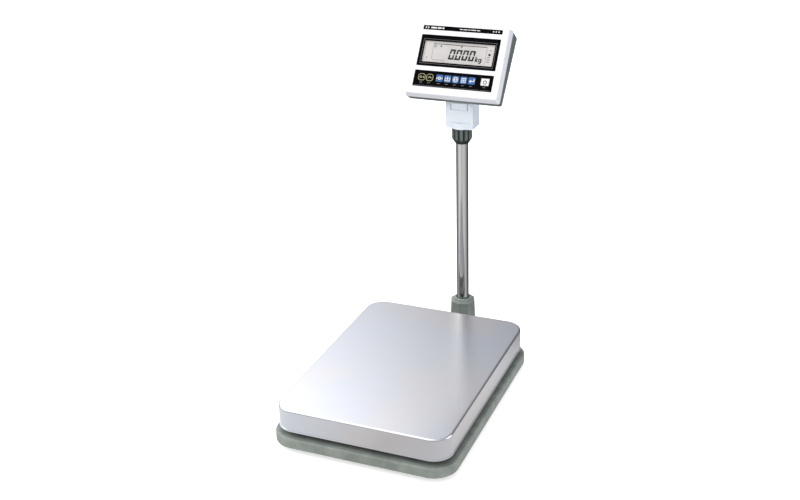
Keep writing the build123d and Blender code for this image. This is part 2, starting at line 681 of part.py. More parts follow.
with BuildPart() as swivel_bracket:
    # the slotted stem that the nut closes on the tube
    with BuildSketch(level(STEM_BOTTOM)):
        with Locations(AXIS):
            Circle(STEM_R)
    extrude(amount=BRACKET_BOTTOM - STEM_BOTTOM)
    chamfer(swivel_bracket.faces().sort_by(Axis.Z)[0].edges(), 1.5)
    # the round boss and the grooved flange
    with BuildSketch(level(BRACKET_BOTTOM)):
        with Locations(AXIS):
            Circle(BOSS_R)
    extrude(amount=BLOCK_BOTTOM - BRACKET_BOTTOM)
    with BuildSketch(level(FLANGE_BOTTOM)):
        flange_outline(0, Mode.ADD)
    extrude(amount=BLOCK_BOTTOM - FLANGE_BOTTOM)
    for groove_z in GROOVES:
        with BuildSketch(level(groove_z)):
            flange_outline(-1, Mode.ADD)
            flange_outline(GROOVE_DEPTH, Mode.SUBTRACT)
            with Locations(AXIS):
                Circle(BOSS_R, mode=Mode.SUBTRACT)
        extrude(amount=GROOVE_HEIGHT, mode=Mode.SUBTRACT)
    # the block with its rounded top
    with BuildSketch(Plane.YZ.offset(-BLOCK_HALF)):
        with Locations((BLOCK_AT[1], (BLOCK_BOTTOM + PIVOT_Z) / 2)):
            Rectangle(BLOCK_DEPTH, PIVOT_Z - BLOCK_BOTTOM)
        with Locations(EAR_AT):
            RectangleRounded(EAR_WIDTH, EAR_HEIGHT, EAR_CORNER)
        on_axis(BLOCK_FRONT)
    extrude(amount=2 * BLOCK_HALF)
    # the slot for the hinge knuckle, open to the top and the rear
    with BuildSketch(level(SLOT_BOTTOM)):
        with Locations((0, COLUMN_Y + BLOCK_REAR)):
            Rectangle(2 * SLOT_HALF, 2 * (BLOCK_DEPTH - BLOCK_WALL))
    extrude(amount=PIVOT_Z + BLOCK_FRONT - SLOT_BOTTOM, mode=Mode.SUBTRACT)
    # the slot's front wall stays up to the knuckle, and is hollowed to clear it
    with BuildSketch(level(WALL_TOP)):
        with Locations(BLOCK_AT):
            Rectangle(2 * SLOT_HALF, BLOCK_DEPTH + 2)
    extrude(amount=PIVOT_Z + BLOCK_FRONT - WALL_TOP, mode=Mode.SUBTRACT)
    with BuildSketch(Plane.YZ.offset(-SLOT_HALF)):
        on_axis(KNUCKLE_R + KNUCKLE_GAP)
    extrude(amount=2 * SLOT_HALF, mode=Mode.SUBTRACT)
    # the bore for the tube and the cable passage above it
    with BuildSketch(level(STEM_BOTTOM)):
        with Locations(AXIS):
            Circle(TUBE_R + 0.06)
    extrude(amount=TUBE_TOP + 1 - STEM_BOTTOM, mode=Mode.SUBTRACT)
    with BuildSketch(level(TUBE_TOP)):
        with Locations(AXIS):
            Circle(PASSAGE_R)
    extrude(amount=SLOT_BOTTOM - TUBE_TOP, mode=Mode.SUBTRACT)
    # four slits in the stem
    with BuildSketch(level(STEM_BOTTOM)):
        with Locations(AXIS):
            Rectangle(2 * STEM_R + 2, SLIT_WIDTH)
            Rectangle(SLIT_WIDTH, 2 * STEM_R + 2)
    extrude(amount=SLIT_HEIGHT, mode=Mode.SUBTRACT)
    # the pin hole, recessed at both ends for the bolt's head and nut
    with BuildSketch(Plane.YZ.offset(-BLOCK_HALF)):
        on_axis(PIN_R + 0.02)
    extrude(amount=2 * BLOCK_HALF, mode=Mode.SUBTRACT)
    with BuildSketch(Plane.YZ.offset(-BLOCK_HALF)):
        on_axis(PIN_RECESS_R)
    extrude(amount=HEAD_RECESS, mode=Mode.SUBTRACT)
    with BuildSketch(Plane.YZ.offset(BLOCK_HALF)):
        on_axis(PIN_RECESS_R)
    extrude(amount=-HEAD_RECESS, mode=Mode.SUBTRACT)
save("swivel_bracket", swivel_bracket.part)


PIN_SEAT = BLOCK_HALF - HEAD_RECESS
PIN_HEAD = 4.0
with BuildPart() as tilt_pin:
    with BuildSketch(Plane.YZ.offset(-PIN_SEAT - 3.6)):
        on_axis(PIN_R)
    extrude(amount=2 * PIN_SEAT + 3.6)
    with BuildSketch(Plane.YZ.offset(PIN_SEAT)):
        on_axis(6.5)
    extrude(amount=PIN_HEAD)
save("tilt_pin", tilt_pin.part)

with BuildPart() as tilt_nut:
    with BuildSketch(Plane.YZ.offset(-PIN_SEAT)):
        with Locations((COLUMN_Y, PIVOT_Z)):
            RegularPolygon(6.5, 6, major_radius=False)
            Circle(PIN_R + 0.02, mode=Mode.SUBTRACT)
    extrude(amount=-PIN_HEAD)
save("tilt_nut", tilt_nut.part)

with BuildPart() as pin_caps:
    for side in (-1, 1):
        with BuildSketch(Plane.YZ.offset(side * (BLOCK_HALF - 1.5))):
            on_axis(8.1)
        extrude(amount=side * 1.9)
save("pin_caps", pin_caps.part)

with BuildPart() as friction_washers:
    for side in (-1, 1):
        with BuildSketch(Plane.YZ.offset(side * (KNUCKLE_HALF + 0.05))):
            with Locations((COLUMN_Y, PIVOT_Z)):
                Circle(13.5)
                Circle(PIN_R + 0.05, mode=Mode.SUBTRACT)
        extrude(amount=side * (SLOT_HALF - KNUCKLE_HALF - 0.1))
save("friction_washers", friction_washers.part)

# ================= indicator: hinge =================
SIN_TILT = math.sin(math.radians(TILT))
COS_TILT = math.cos(math.radians(TILT))
PIVOT_DEPTH = (COLUMN_Y - FACE_Y) * COS_TILT - (PIVOT_Z - FACE_Z) * SIN_TILT
PIVOT_UP = (COLUMN_Y - FACE_Y) * SIN_TILT + (PIVOT_Z - FACE_Z) * COS_TILT
HINGE_PLATE = (66.0, 48.0)
HINGE_UP = 38.0
HINGE_THICK = 4.0
HINGE_BOLTS = [(sx * 26.0, HINGE_UP + sy * 16.0) for sx, sy in CORNERS]
CABLE_UP = PIVOT_UP + 9.5
with BuildPart() as tilt_hinge:
    with BuildSketch(depth(CASE_BACK)):
        with Locations((0, HINGE_UP)):
            RectangleRounded(HINGE_PLATE[0], HINGE_PLATE[1], 6.0)
    extrude(amount=-HINGE_THICK)
    with BuildSketch(depth(CASE_BACK)):
        with Locations((0, PIVOT_UP + 4.5)):
            Rectangle(2 * KNUCKLE_HALF, 19.0)
    extrude(amount=CASE_BACK - PIVOT_DEPTH)
    with BuildSketch(Plane.YZ.offset(-KNUCKLE_HALF)):
        on_axis(KNUCKLE_R)
    extrude(amount=2 * KNUCKLE_HALF)
    with BuildSketch(Plane.YZ.offset(-KNUCKLE_HALF)):
        on_axis(PIN_R + 0.05)
    extrude(amount=2 * KNUCKLE_HALF, mode=Mode.SUBTRACT)
    with BuildSketch(depth(CASE_BACK)):
        with Locations((0, CABLE_UP)):
            Circle(3.2)
    extrude(amount=-60.0, mode=Mode.SUBTRACT)
    with BuildSketch(depth(CASE_BACK)):
        with Locations(*HINGE_BOLTS):
            Circle(2.1)
    extrude(amount=-HINGE_THICK, mode=Mode.SUBTRACT)
    with BuildSketch(depth(CASE_BACK + HINGE_THICK)):
        with Locations(*HINGE_BOLTS):
            Circle(4.2)
    extrude(amount=2.1, taper=45, mode=Mode.SUBTRACT)
save("tilt_hinge", tilt_hinge.part)

with BuildPart() as hinge_screws:
    with BuildSketch(depth(CASE_BACK + HINGE_THICK - 0.05)):
        with Locations(*HINGE_BOLTS):
            Circle(4.0)
    extrude(amount=2.02, taper=45)
    with BuildSketch(depth(CASE_BACK + HINGE_THICK - 0.05)):
        with Locations(*HINGE_BOLTS):
            Circle(1.98)
    extrude(amount=14.0)
    with BuildSketch(depth(CASE_BACK + HINGE_THICK - 0.05)):
        with Locations(*HINGE_BOLTS):
            RegularPolygon(1.2, 6, major_radius=False)
    extrude(amount=1.5, mode=Mode.SUBTRACT)
save("hinge_screws", hinge_screws.part)

# ================= indicator: shells =================
HEAD_UP = (HEAD_BOTTOM + HEAD_TOP) / 2
HEAD_HEIGHT = HEAD_TOP - HEAD_BOTTOM
FACE_INSET = 3.5           # draft of the front shell's sides
FACE_ROUND = 2.0
SEAL = 0.8
CASE_SCREWS = [(sx * 90.0, up) for up in (14.0, 148.0) for sx in (-1, 1)]
COVER_UP = 102.0
COVER_SIZE = (112.0, 58.0)
COVER_SCREWS = [(sx * 51.0, COVER_UP) for sx in (-1, 1)]
BOARD_POSTS = [(sx * 87.0, up) for up in (60.0, 135.0) for sx in (-1, 1)]
KEY_POSTS = [(sx * 84.0, up) for up in (30.0, 46.0) for sx in (-1, 1)]
KEY_BOARD_DEPTH = 8.0
BOARD_DEPTH = 14.0
RECESS = 1.2
BACK_UP = (BACK_BOTTOM + BACK_TOP) / 2
BACK_HEIGHT = BACK_TOP - BACK_BOTTOM
REAR_STEP = 0.6            # the rear shell is this much smaller than the front one
REAR_NARROWING = 1.6       # and this much smaller where its sides end
REAR_WIDTH = HEAD_WIDTH - REAR_NARROWING
REAR_HEIGHT = HEAD_HEIGHT - REAR_NARROWING
SCREW_POST_R = 5.4
SCREW_WELL_R = 3.4
SCREW_HOLE_R = 1.6
BOSS_HEIGHT = 10.0
PILOT_DEPTH = 12.5
CABLE_HOLE_R = 4.5
COVER_FIT = 0.4
COVER_CORNER = 4.2
BATTERY_OPENING = (88.0, 48.0)
BATTERY_RIB_AT = 26.5
BATTERY_RIB = (90.0, 2.0)
FRONT_END = PART_LINE - SEAL / 2
REAR_START = PART_LINE + SEAL / 2
WALLS = 2 * SHELL_WALL
INNER_CORNER = CASE_CORNER - 2.0
FACE_WALLS = 2 * (FACE_INSET + SHELL_WALL)


def leaning(d):
    """The plane that leans with the end of the rear shell's sides, d deep at its middle."""
    angle = math.radians(TILT + CASE_LEAN)
    return Plane(
        origin=FACE.from_local_coords((0, HEAD_UP, -d)),
        x_dir=(1, 0, 0),
        z_dir=(0, -math.cos(angle), math.sin(angle)),
    )


with BuildPart() as front_cavity:
    with BuildSketch(depth(SHELL_WALL)):
        outline(HEAD_WIDTH - FACE_WALLS, HEAD_HEIGHT - FACE_WALLS, HEAD_UP, INNER_CORNER)
    with BuildSketch(depth(FRONT_END)):
        outline(HEAD_WIDTH - WALLS, HEAD_HEIGHT - WALLS, HEAD_UP, INNER_CORNER)
    loft()

with BuildPart() as front_shell:
    with BuildSketch(depth(0)):
        outline(HEAD_WIDTH - 2 * FACE_INSET, HEAD_HEIGHT - 2 * FACE_INSET, HEAD_UP, CASE_CORNER - 0.5)
    with BuildSketch(depth(FRONT_END)):
        outline(HEAD_WIDTH, HEAD_HEIGHT, HEAD_UP, CASE_CORNER)
    loft()
    front_face = front_shell.faces().sort_by(Axis(FACE.origin, FACE.z_dir))[-1]
    fillet(front_face.edges(), FACE_ROUND)
    add(front_cavity.part, mode=Mode.SUBTRACT)
    # posts for the case screws, the main board and the key board
    with BuildSketch(depth(SHELL_WALL)):
        with Locations(*CASE_SCREWS):
            Circle(4.0)
    extrude(amount=SHELL_WALL - FRONT_END)
    with BuildSketch(depth(SHELL_WALL)):
        with Locations(*BOARD_POSTS):
            Circle(3.5)
    extrude(amount=SHELL_WALL - BOARD_DEPTH)
    with BuildSketch(depth(SHELL_WALL)):
        with Locations(*KEY_POSTS):
            Circle(2.5)
    extrude(amount=SHELL_WALL - KEY_BOARD_DEPTH)
    with BuildSketch(depth(6.0)):
        with Locations(*CASE_SCREWS):
            Circle(1.5)
    extrude(amount=6.0 - FRONT_END, mode=Mode.SUBTRACT)
    # shallow recesses for the display frame, the key panel and the label
    with BuildSketch(FACE):
        with Locations((0, DISPLAY_UP)):
            RectangleRounded(DISPLAY_SIZE[0] + 0.3, DISPLAY_SIZE[1] + 0.3, 2.0)
        with Locations((0, KEYPAD_UP)):
            RectangleRounded(KEYPAD_SIZE[0] + 0.3, KEYPAD_SIZE[1] + 0.3, 1.5)
    extrude(amount=-RECESS, mode=Mode.SUBTRACT)
    with BuildSketch(FACE):
        with Locations((0, LABEL_UP)):
            RectangleRounded(LABEL_SIZE[0] + 0.3, LABEL_SIZE[1] + 0.3, 1.5)
    extrude(amount=-0.8, mode=Mode.SUBTRACT)
    # the openings behind the display and the keys
    with BuildSketch(FACE):
        with Locations((0, WINDOW_UP)):
            RectangleRounded(162.0, 54.0, 3.0)
        with Locations((0, KEY_ROW_UP)):
            RectangleRounded(160.0, 19.0, 2.0)
    extrude(amount=-SHELL_WALL, mode=Mode.SUBTRACT)
save("front_shell", front_shell.part)

with BuildPart() as rear_solid:
    with BuildSketch(depth(REAR_START)):
        outline(HEAD_WIDTH - REAR_STEP, HEAD_HEIGHT - REAR_STEP, HEAD_UP, CASE_CORNER)
    with BuildSketch(leaning(CASE_MIDDLE)):
        RectangleRounded(REAR_WIDTH, REAR_HEIGHT, CASE_CORNER)
    loft()
    with BuildSketch(leaning(CASE_MIDDLE)):
        RectangleRounded(REAR_WIDTH, REAR_HEIGHT, CASE_CORNER)
    with BuildSketch(depth(CASE_BACK)):
        outline(BACK_WIDTH, BACK_HEIGHT, BACK_UP, CASE_CORNER + 2)
    loft()

with BuildPart() as rear_cavity:
    with BuildSketch(depth(REAR_START)):
        outline(HEAD_WIDTH - REAR_STEP - WALLS, HEAD_HEIGHT - REAR_STEP - WALLS, HEAD_UP, INNER_CORNER)
    with BuildSketch(leaning(CASE_MIDDLE - 1.0)):
        RectangleRounded(REAR_WIDTH - WALLS, REAR_HEIGHT - WALLS, INNER_CORNER)
    loft()
    with BuildSketch(leaning(CASE_MIDDLE - 1.0)):
        RectangleRounded(REAR_WIDTH - WALLS, REAR_HEIGHT - WALLS, INNER_CORNER)
    with BuildSketch(depth(CASE_BACK - SHELL_WALL)):
        outline(BACK_WIDTH - WALLS + 3, BACK_HEIGHT - WALLS + 2, BACK_UP, CASE_CORNER)
    loft()

SCREW_SEAT = 26.0
COVER_LEDGE = CASE_BACK - 1.6
with BuildPart() as rear_shell:
    add(rear_solid.part)
    add(rear_cavity.part, mode=Mode.SUBTRACT)
    # posts for the case screws, the hinge screws and the cover screws
    with BuildSketch(depth(REAR_START)):
        with Locations(*CASE_SCREWS):
            Circle(SCREW_POST_R)
    extrude(amount=REAR_START - CASE_BACK)
    with BuildSketch(depth(CASE_BACK - SHELL_WALL)):
        with Locations(*HINGE_BOLTS, *COVER_SCREWS):
            Circle(4.0)
    extrude(amount=BOSS_HEIGHT)
    # ribs that hold the battery
    with BuildSketch(depth(CASE_BACK - SHELL_WALL)):
        with Locations((0, COVER_UP - BATTERY_RIB_AT), (0, COVER_UP + BATTERY_RIB_AT)):
            Rectangle(*BATTERY_RIB)
    extrude(amount=18.0)
    add(rear_solid.part, mode=Mode.INTERSECT)
    # wells and clearance holes for the case screws
    with BuildSketch(depth(SCREW_SEAT)):
        with Locations(*CASE_SCREWS):
            Circle(SCREW_WELL_R)
    extrude(amount=SCREW_SEAT - CASE_BACK, mode=Mode.SUBTRACT)
    with BuildSketch(depth(REAR_START)):
        with Locations(*CASE_SCREWS):
            Circle(SCREW_HOLE_R)
    extrude(amount=REAR_START - SCREW_SEAT, mode=Mode.SUBTRACT)
    with BuildSketch(depth(CASE_BACK)):
        with Locations(*HINGE_BOLTS):
            Circle(2.0)
    extrude(amount=PILOT_DEPTH, mode=Mode.SUBTRACT)
    with BuildSketch(depth(CASE_BACK)):
        with Locations(*COVER_SCREWS):
            Circle(1.5)
    extrude(amount=PILOT_DEPTH, mode=Mode.SUBTRACT)
    # the cable opening
    with BuildSketch(depth(CASE_BACK)):
        with Locations((0, CABLE_UP)):
            Circle(CABLE_HOLE_R)
    extrude(amount=SHELL_WALL + 1, mode=Mode.SUBTRACT)
    # the battery opening, with a ledge for its cover
    with BuildSketch(depth(CASE_BACK)):
        with Locations((0, COVER_UP)):
            RectangleRounded(COVER_SIZE[0] + COVER_FIT, COVER_SIZE[1] + COVER_FIT, COVER_CORNER)
    extrude(amount=CASE_BACK - COVER_LEDGE, mode=Mode.SUBTRACT)
    with BuildSketch(depth(CASE_BACK)):
        with Locations((0, COVER_UP)):
            RectangleRounded(*BATTERY_OPENING, 3.0)
    extrude(amount=SHELL_WALL + 1, mode=Mode.SUBTRACT)
save("rear_shell", rear_shell.part)

with BuildPart() as case_gasket:
    with BuildSketch(depth(FRONT_END)):
        outline(REAR_WIDTH, REAR_HEIGHT, HEAD_UP, CASE_CORNER)
    extrude(amount=-SEAL)
    with BuildSketch(depth(FRONT_END)):
        outline(HEAD_WIDTH - WALLS, HEAD_HEIGHT - WALLS, HEAD_UP, INNER_CORNER)
    extrude(amount=-SEAL, mode=Mode.SUBTRACT)
save("case_gasket", case_gasket.part)

with BuildPart() as battery_cover:
    with BuildSketch(depth(COVER_LEDGE)):
        outline(COVER_SIZE[0], COVER_SIZE[1], COVER_UP, 4.0)
    extrude(amount=-2.0)
    with BuildSketch(depth(COVER_LEDGE)):
        with Locations(*COVER_SCREWS):
            Circle(1.6)
    extrude(amount=-2.0, mode=Mode.SUBTRACT)
save("battery_cover", battery_cover.part)

COVER_OUTER = COVER_LEDGE + 2.0
with BuildPart() as case_screws:
    with BuildSketch(depth(8.0)):
        with Locations(*CASE_SCREWS):
            Circle(1.48)
    extrude(amount=8.0 - SCREW_SEAT)
    with BuildSketch(depth(SCREW_SEAT)):
        with Locations(*CASE_SCREWS):
            Circle(2.8)
    extrude(amount=-2.2)
    with BuildSketch(depth(COVER_OUTER - 10.0)):
        with Locations(*COVER_SCREWS):
            Circle(1.48)
    extrude(amount=-10.0)
    with BuildSketch(depth(COVER_OUTER)):
        with Locations(*COVER_SCREWS):
            Circle(2.8)
    extrude(amount=-1.8)
save("case_screws", case_screws.part)

# ================= indicator: display =================
with BuildPart() as display_frame:
    with BuildSketch(depth(-0.3)):
        outline(DISPLAY_SIZE[0], DISPLAY_SIZE[1], DISPLAY_UP, 1.8)
    extrude(amount=-RECESS - 0.3)
    with BuildSketch(depth(-0.3)):
        outline(WINDOW_SIZE[0], WINDOW_SIZE[1], WINDOW_UP, 0.8)
    extrude(amount=-RECESS - 0.3, mode=Mode.SUBTRACT)
save("display_frame", display_frame.part)
save("display_lens", face_plate((161.0, 53.0), WINDOW_UP, RECESS, SHELL_WALL, 2.5))
save("lcd_glass", face_plate((164.0, 56.0), WINDOW_UP, 3.2, 5.6, 0.8))
save("lcd_backlight", face_plate((164.0, 56.0), WINDOW_UP, 5.7, 11.0, 0.8))
save("top_label", face_plate(LABEL_SIZE, LABEL_UP, -0.2, 0.8, 1.3))

with BuildPart() as main_board:
    with BuildSketch(depth(BOARD_DEPTH)):
        outline(184.0, 84.0, 97.5, 2.0)
    extrude(amount=-1.6)
    with BuildSketch(depth(BOARD_DEPTH)):
        with Locations(*BOARD_POSTS):
            Circle(1.6)
    extrude(amount=-1.6, mode=Mode.SUBTRACT)
    # connectors, transformer and processor on the rear side
    with BuildSketch(depth(BOARD_DEPTH + 1.6)):
        with Locations((0, 62.0)):
            Rectangle(22.0, 7.0)
        with Locations((-62.0, 84.0)):
            Rectangle(20.0, 16.0)
        with Locations((58.0, 100.0)):
            Rectangle(16.0, 24.0)
    extrude(amount=-8.0)
    with BuildSketch(depth(BOARD_DEPTH + 1.6)):
        with Locations((0, 100.0)):
            Rectangle(18.0, 18.0)
    extrude(amount=-2.0)
save("main_board", main_board.part)
save("battery", face_plate((92.0, 50.0), COVER_UP, 33.0, 57.0, 2.0))

HEAD_CABLE_END = PIVOT_DEPTH + KNUCKLE_R + 1.5
with BuildPart() as head_cable:
    with BuildLine():
        head_path = FilletPolyline(
            *[
                FACE.from_local_coords((0, up, -d))
                for up, d in (
                    (62.0, BOARD_DEPTH + 9.7),
                    (62.0, 44.0),
                    (CABLE_UP, 44.0),
                    (CABLE_UP, HEAD_CABLE_END),
                )
            ],
            radius=7.0,
        )
    with BuildSketch(Plane(origin=head_path @ 0, z_dir=head_path % 0)):
        Circle(CABLE_R)
    sweep()
save("head_cable", head_cable.part)

# ================= indicator: keys =================
BUTTON_SIZE = (15.0, 15.5)
WIDE_KEY = (16.6, 16.2)
POWER_KEY = (17.6, 15.6)
FIRST_KEY_X = -69.3
FUNCTION_KEY_X = -29.6
POWER_KEY_X = 70.5
KEYS = [
    ("key_unit", FIRST_KEY_X, WIDE_KEY, 5.0),
    ("key_light", FIRST_KEY_X + KEY_PITCH, WIDE_KEY, 5.0),
    ("key_zero", FUNCTION_KEY_X, BUTTON_SIZE, 1.5),
    ("key_tare", FUNCTION_KEY_X + KEY_PITCH, BUTTON_SIZE, 1.5),
    ("key_hold", FUNCTION_KEY_X + 2 * KEY_PITCH, BUTTON_SIZE, 1.5),
    ("key_sample", FUNCTION_KEY_X + 3 * KEY_PITCH, BUTTON_SIZE, 1.5),
    ("key_set", FUNCTION_KEY_X + 4 * KEY_PITCH, BUTTON_SIZE, 1.5),
    ("key_power", POWER_KEY_X, POWER_KEY, 1.5),
]
PANEL_TOP = -0.3
KEY_TOP = PANEL_TOP - KEY_TRAVEL
KEY_FLANGE = RECESS + 0.1
KEY_FLANGE_BACK = KEY_FLANGE + 0.8
SWITCH_TOP = KEY_BOARD_DEPTH - 3.0
PLUNGER_END = SWITCH_TOP - KEY_TRAVEL - 0.05

with BuildPart() as key_panel:
    with BuildSketch(depth(PANEL_TOP)):
        outline(KEYPAD_SIZE[0], KEYPAD_SIZE[1], KEYPAD_UP, 1.3)
    extrude(amount=PANEL_TOP - RECESS)
    for key_name, key_x, key_size, key_corner in KEYS:
        with BuildSketch(depth(PANEL_TOP)):
            with Locations((key_x, KEY_ROW_UP)):
                RectangleRounded(key_size[0] + 0.4, key_size[1] + 0.4, key_corner + 0.2)
        extrude(amount=PANEL_TOP - RECESS, mode=Mode.SUBTRACT)
save("key_panel", key_panel.part)

for key_name, key_x, key_size, key_corner in KEYS:
    with BuildPart() as key:
        with BuildSketch(depth(KEY_TOP)):
            with Locations((key_x, KEY_ROW_UP)):
                RectangleRounded(key_size[0], key_size[1], key_corner)
        extrude(amount=KEY_TOP - KEY_FLANGE)
        top_face = key.faces().sort_by(Axis(FACE.origin, FACE.z_dir))[-1]
        fillet(top_face.edges(), 0.4)
        with BuildSketch(depth(KEY_FLANGE)):
            with Locations((key_x, KEY_ROW_UP)):
                RectangleRounded(key_size[0] + 0.9, key_size[1] + 0.9, key_corner)
        extrude(amount=KEY_FLANGE - KEY_FLANGE_BACK)
        with BuildSketch(depth(KEY_FLANGE_BACK)):
            with Locations((key_x, KEY_ROW_UP)):
                Circle(2.5)
        extrude(amount=KEY_FLANGE_BACK - PLUNGER_END)
    save(key_name, key.part)

with BuildPart() as key_board:
    with BuildSketch(depth(KEY_BOARD_DEPTH)):
        outline(176.0, 28.0, 38.0, 2.0)
    extrude(amount=-1.6)
    with BuildSketch(depth(SWITCH_TOP)):
        with Locations(*[(entry[1], KEY_ROW_UP) for entry in KEYS]):
            Rectangle(6.0, 6.0)
    extrude(amount=SWITCH_TOP - KEY_BOARD_DEPTH)
save("key_board", key_board.part)
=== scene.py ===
import json
import math

import bmesh
import bpy
from mathutils import Matrix, Vector


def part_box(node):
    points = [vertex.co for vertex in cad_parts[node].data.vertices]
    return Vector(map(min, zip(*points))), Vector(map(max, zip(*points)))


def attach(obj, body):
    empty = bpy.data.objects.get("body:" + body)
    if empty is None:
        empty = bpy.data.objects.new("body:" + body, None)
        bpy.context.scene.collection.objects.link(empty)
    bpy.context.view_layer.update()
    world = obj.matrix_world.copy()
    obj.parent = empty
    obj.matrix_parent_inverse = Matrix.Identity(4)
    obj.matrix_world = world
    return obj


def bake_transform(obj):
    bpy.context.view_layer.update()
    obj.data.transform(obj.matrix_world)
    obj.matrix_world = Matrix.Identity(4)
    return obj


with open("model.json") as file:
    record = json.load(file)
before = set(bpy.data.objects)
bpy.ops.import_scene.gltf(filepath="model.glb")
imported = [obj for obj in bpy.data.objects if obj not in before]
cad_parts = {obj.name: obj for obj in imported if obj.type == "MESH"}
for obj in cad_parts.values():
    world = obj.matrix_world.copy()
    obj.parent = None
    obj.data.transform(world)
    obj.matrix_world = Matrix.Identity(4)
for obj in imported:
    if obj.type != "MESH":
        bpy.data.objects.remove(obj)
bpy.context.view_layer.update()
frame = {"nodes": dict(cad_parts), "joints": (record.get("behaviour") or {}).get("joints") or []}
NODES = frame["nodes"]
MM = 0.001

# ---- the indicator's own directions: across its face, up its face, and out of it ----
JOINTS = {joint["name"]: joint for joint in frame["joints"]}
OUT = Vector(JOINTS["key_zero_press"]["axis"]).normalized()
RIGHT = Vector((1, 0, 0))
UP = OUT.cross(RIGHT)
TILT_AXIS = Vector(JOINTS["indicator_tilt"]["pos_m"])   # it crosses the column's own axis


def middle(node):
    """The centre of a CAD node's box."""
    low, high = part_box(node)
    return (low + high) / 2


def front(node):
    """The middle of a CAD node, brought out to the level of its frontmost face."""
    centre = middle(node)
    level = max(vertex.co.dot(OUT) for vertex in NODES[node].data.vertices)
    return centre + OUT * (level - centre.dot(OUT))


def rear(node):
    """A point on a CAD node's rearmost level, straight behind the tilt axis."""
    level = min(vertex.co.dot(OUT) for vertex in NODES[node].data.vertices)
    return TILT_AXIS + OUT * (level - TILT_AXIS.dot(OUT))


# ---------------------------------------------------------------- materials
class Shader:
    """A Principled material with short calls for its nodes."""

    def __init__(self, name, color, roughness, metallic=0.0):
        self.material = bpy.data.materials.new(name)
        self.material.use_nodes = True
        self.material.diffuse_color = (*color, 1)
        self.tree = self.material.node_tree
        self.surface = self.tree.nodes["Principled BSDF"]
        self.set("Base Color", (*color, 1))
        self.set("Roughness", roughness)
        self.set("Metallic", metallic)
        self.place = self.node("ShaderNodeTexCoord").outputs["Object"]

    def node(self, kind, **values):
        made = self.tree.nodes.new(kind)
        for key, value in values.items():
            setattr(made, key, value)
        return made

    def link(self, source, target):
        self.tree.links.new(source, target)

    def set(self, socket, value):
        self.surface.inputs[socket].default_value = value

    def drive(self, socket, source):
        self.link(source, self.surface.inputs[socket])

    def stretched(self, scale):
        """The object's coordinates, scaled by a triple."""
        mapping = self.node("ShaderNodeMapping")
        mapping.inputs["Scale"].default_value = scale
        self.link(self.place, mapping.inputs["Vector"])
        return mapping.outputs["Vector"]

    def noise(self, scale, detail=3.0, roughness=0.55, vector=None):
        """Fractal noise; scale counts cells in a metre."""
        made = self.node("ShaderNodeTexNoise")
        made.inputs["Scale"].default_value = scale
        made.inputs["Detail"].default_value = detail
        made.inputs["Roughness"].default_value = roughness
        self.link(vector or self.place, made.inputs["Vector"])
        return made.outputs["Fac"]

    def cells(self, scale, vector=None):
        """Distance to the nearest Voronoi point."""
        made = self.node("ShaderNodeTexVoronoi")
        made.inputs["Scale"].default_value = scale
        self.link(vector or self.place, made.inputs["Vector"])
        return made.outputs["Distance"]

    def remap(self, source, low, high, to_low, to_high):
        made = self.node("ShaderNodeMapRange")
        for socket, value in zip(("From Min", "From Max", "To Min", "To Max"), (low, high, to_low, to_high)):
            made.inputs[socket].default_value = value
        self.link(source, made.inputs["Value"])
        return made.outputs["Result"]

    def math(self, operation, first, second=0.0):
        """A sum on numbers or sockets; an operation on one value takes only the first."""
        made = self.node("ShaderNodeMath", operation=operation)
        for socket, value in zip(made.inputs, (first, second)):
            if isinstance(value, (int, float)):
                socket.default_value = value
            else:
                self.link(value, socket)
        return made.outputs[0]

    def mix(self, factor, first, second):
        """Two colours mixed by a factor; each may be a triple or a socket."""
        made = self.node("ShaderNodeMix", data_type="RGBA")
        self.link(factor, made.inputs["Factor"])
        for socket, value in ((made.inputs[6], first), (made.inputs[7], second)):
            if isinstance(value, tuple):
                socket.default_value = (*value, 1)
            else:
                self.link(value, socket)
        return made.outputs[2]

    def bump(self, height, distance, strength):
        """Bump of the given height in metres; stacks on a bump made before."""
        made = self.node("ShaderNodeBump")
        made.inputs["Strength"].default_value = strength
        made.inputs["Distance"].default_value = distance
        self.link(height, made.inputs["Height"])
        before = self.surface.inputs["Normal"].links
        if before:
            self.link(before[0].from_socket, made.inputs["Normal"])
        self.drive("Normal", made.outputs["Normal"])

    def edges(self, radius):
        """1 on edges sharper than the radius, 0 on flats."""
        bevel = self.node("ShaderNodeBevel", samples=4)
        bevel.inputs["Radius"].default_value = radius
        geometry = self.node("ShaderNodeNewGeometry")
        dot = self.node("ShaderNodeVectorMath", operation="DOT_PRODUCT")
        self.link(bevel.outputs["Normal"], dot.inputs[0])
        self.link(geometry.outputs["Normal"], dot.inputs[1])
        return self.remap(dot.outputs["Value"], 0.999, 0.9, 0.0, 1.0)

    def axis(self, letter):
        """One of the object's coordinates, in metres."""
        parts = self.node("ShaderNodeSeparateXYZ")
        self.link(self.place, parts.inputs[0])
        return parts.outputs[letter]


def moulded_plastic(name, color, drifted, roughness, grain=0.00004):
    """Injection-moulded plastic: spark-eroded grain, slight colour drift, edges lighter partly from rubbing
    and partly as a painted highlight.
    """
    s = Shader(name, color, roughness)
    drift = s.noise(14.0, 4.0)
    # edges lighter in patches: partly rubbed wear, partly a painted highlight along them
    wear_and_edge_highlight = s.math("MULTIPLY", s.edges(0.0012), s.remap(s.noise(160.0), 0.42, 0.62, 0.0, 0.5))
    base = s.mix(s.remap(drift, 0.3, 0.7, 0.0, 1.0), color, drifted)
    s.drive("Base Color", s.mix(wear_and_edge_highlight, base, tuple(min(1.0, c * 1.18 + 0.03) for c in color)))
    rough = s.remap(s.noise(420.0, 2.0), 0.3, 0.7, roughness - 0.07, roughness + 0.09)
    s.drive("Roughness", rough)
    s.bump(s.noise(2600.0, 2.0), grain, 0.5)
    s.bump(s.cells(1500.0), grain, 0.25)
    s.set("Specular IOR Level", 0.45)
    return s.material


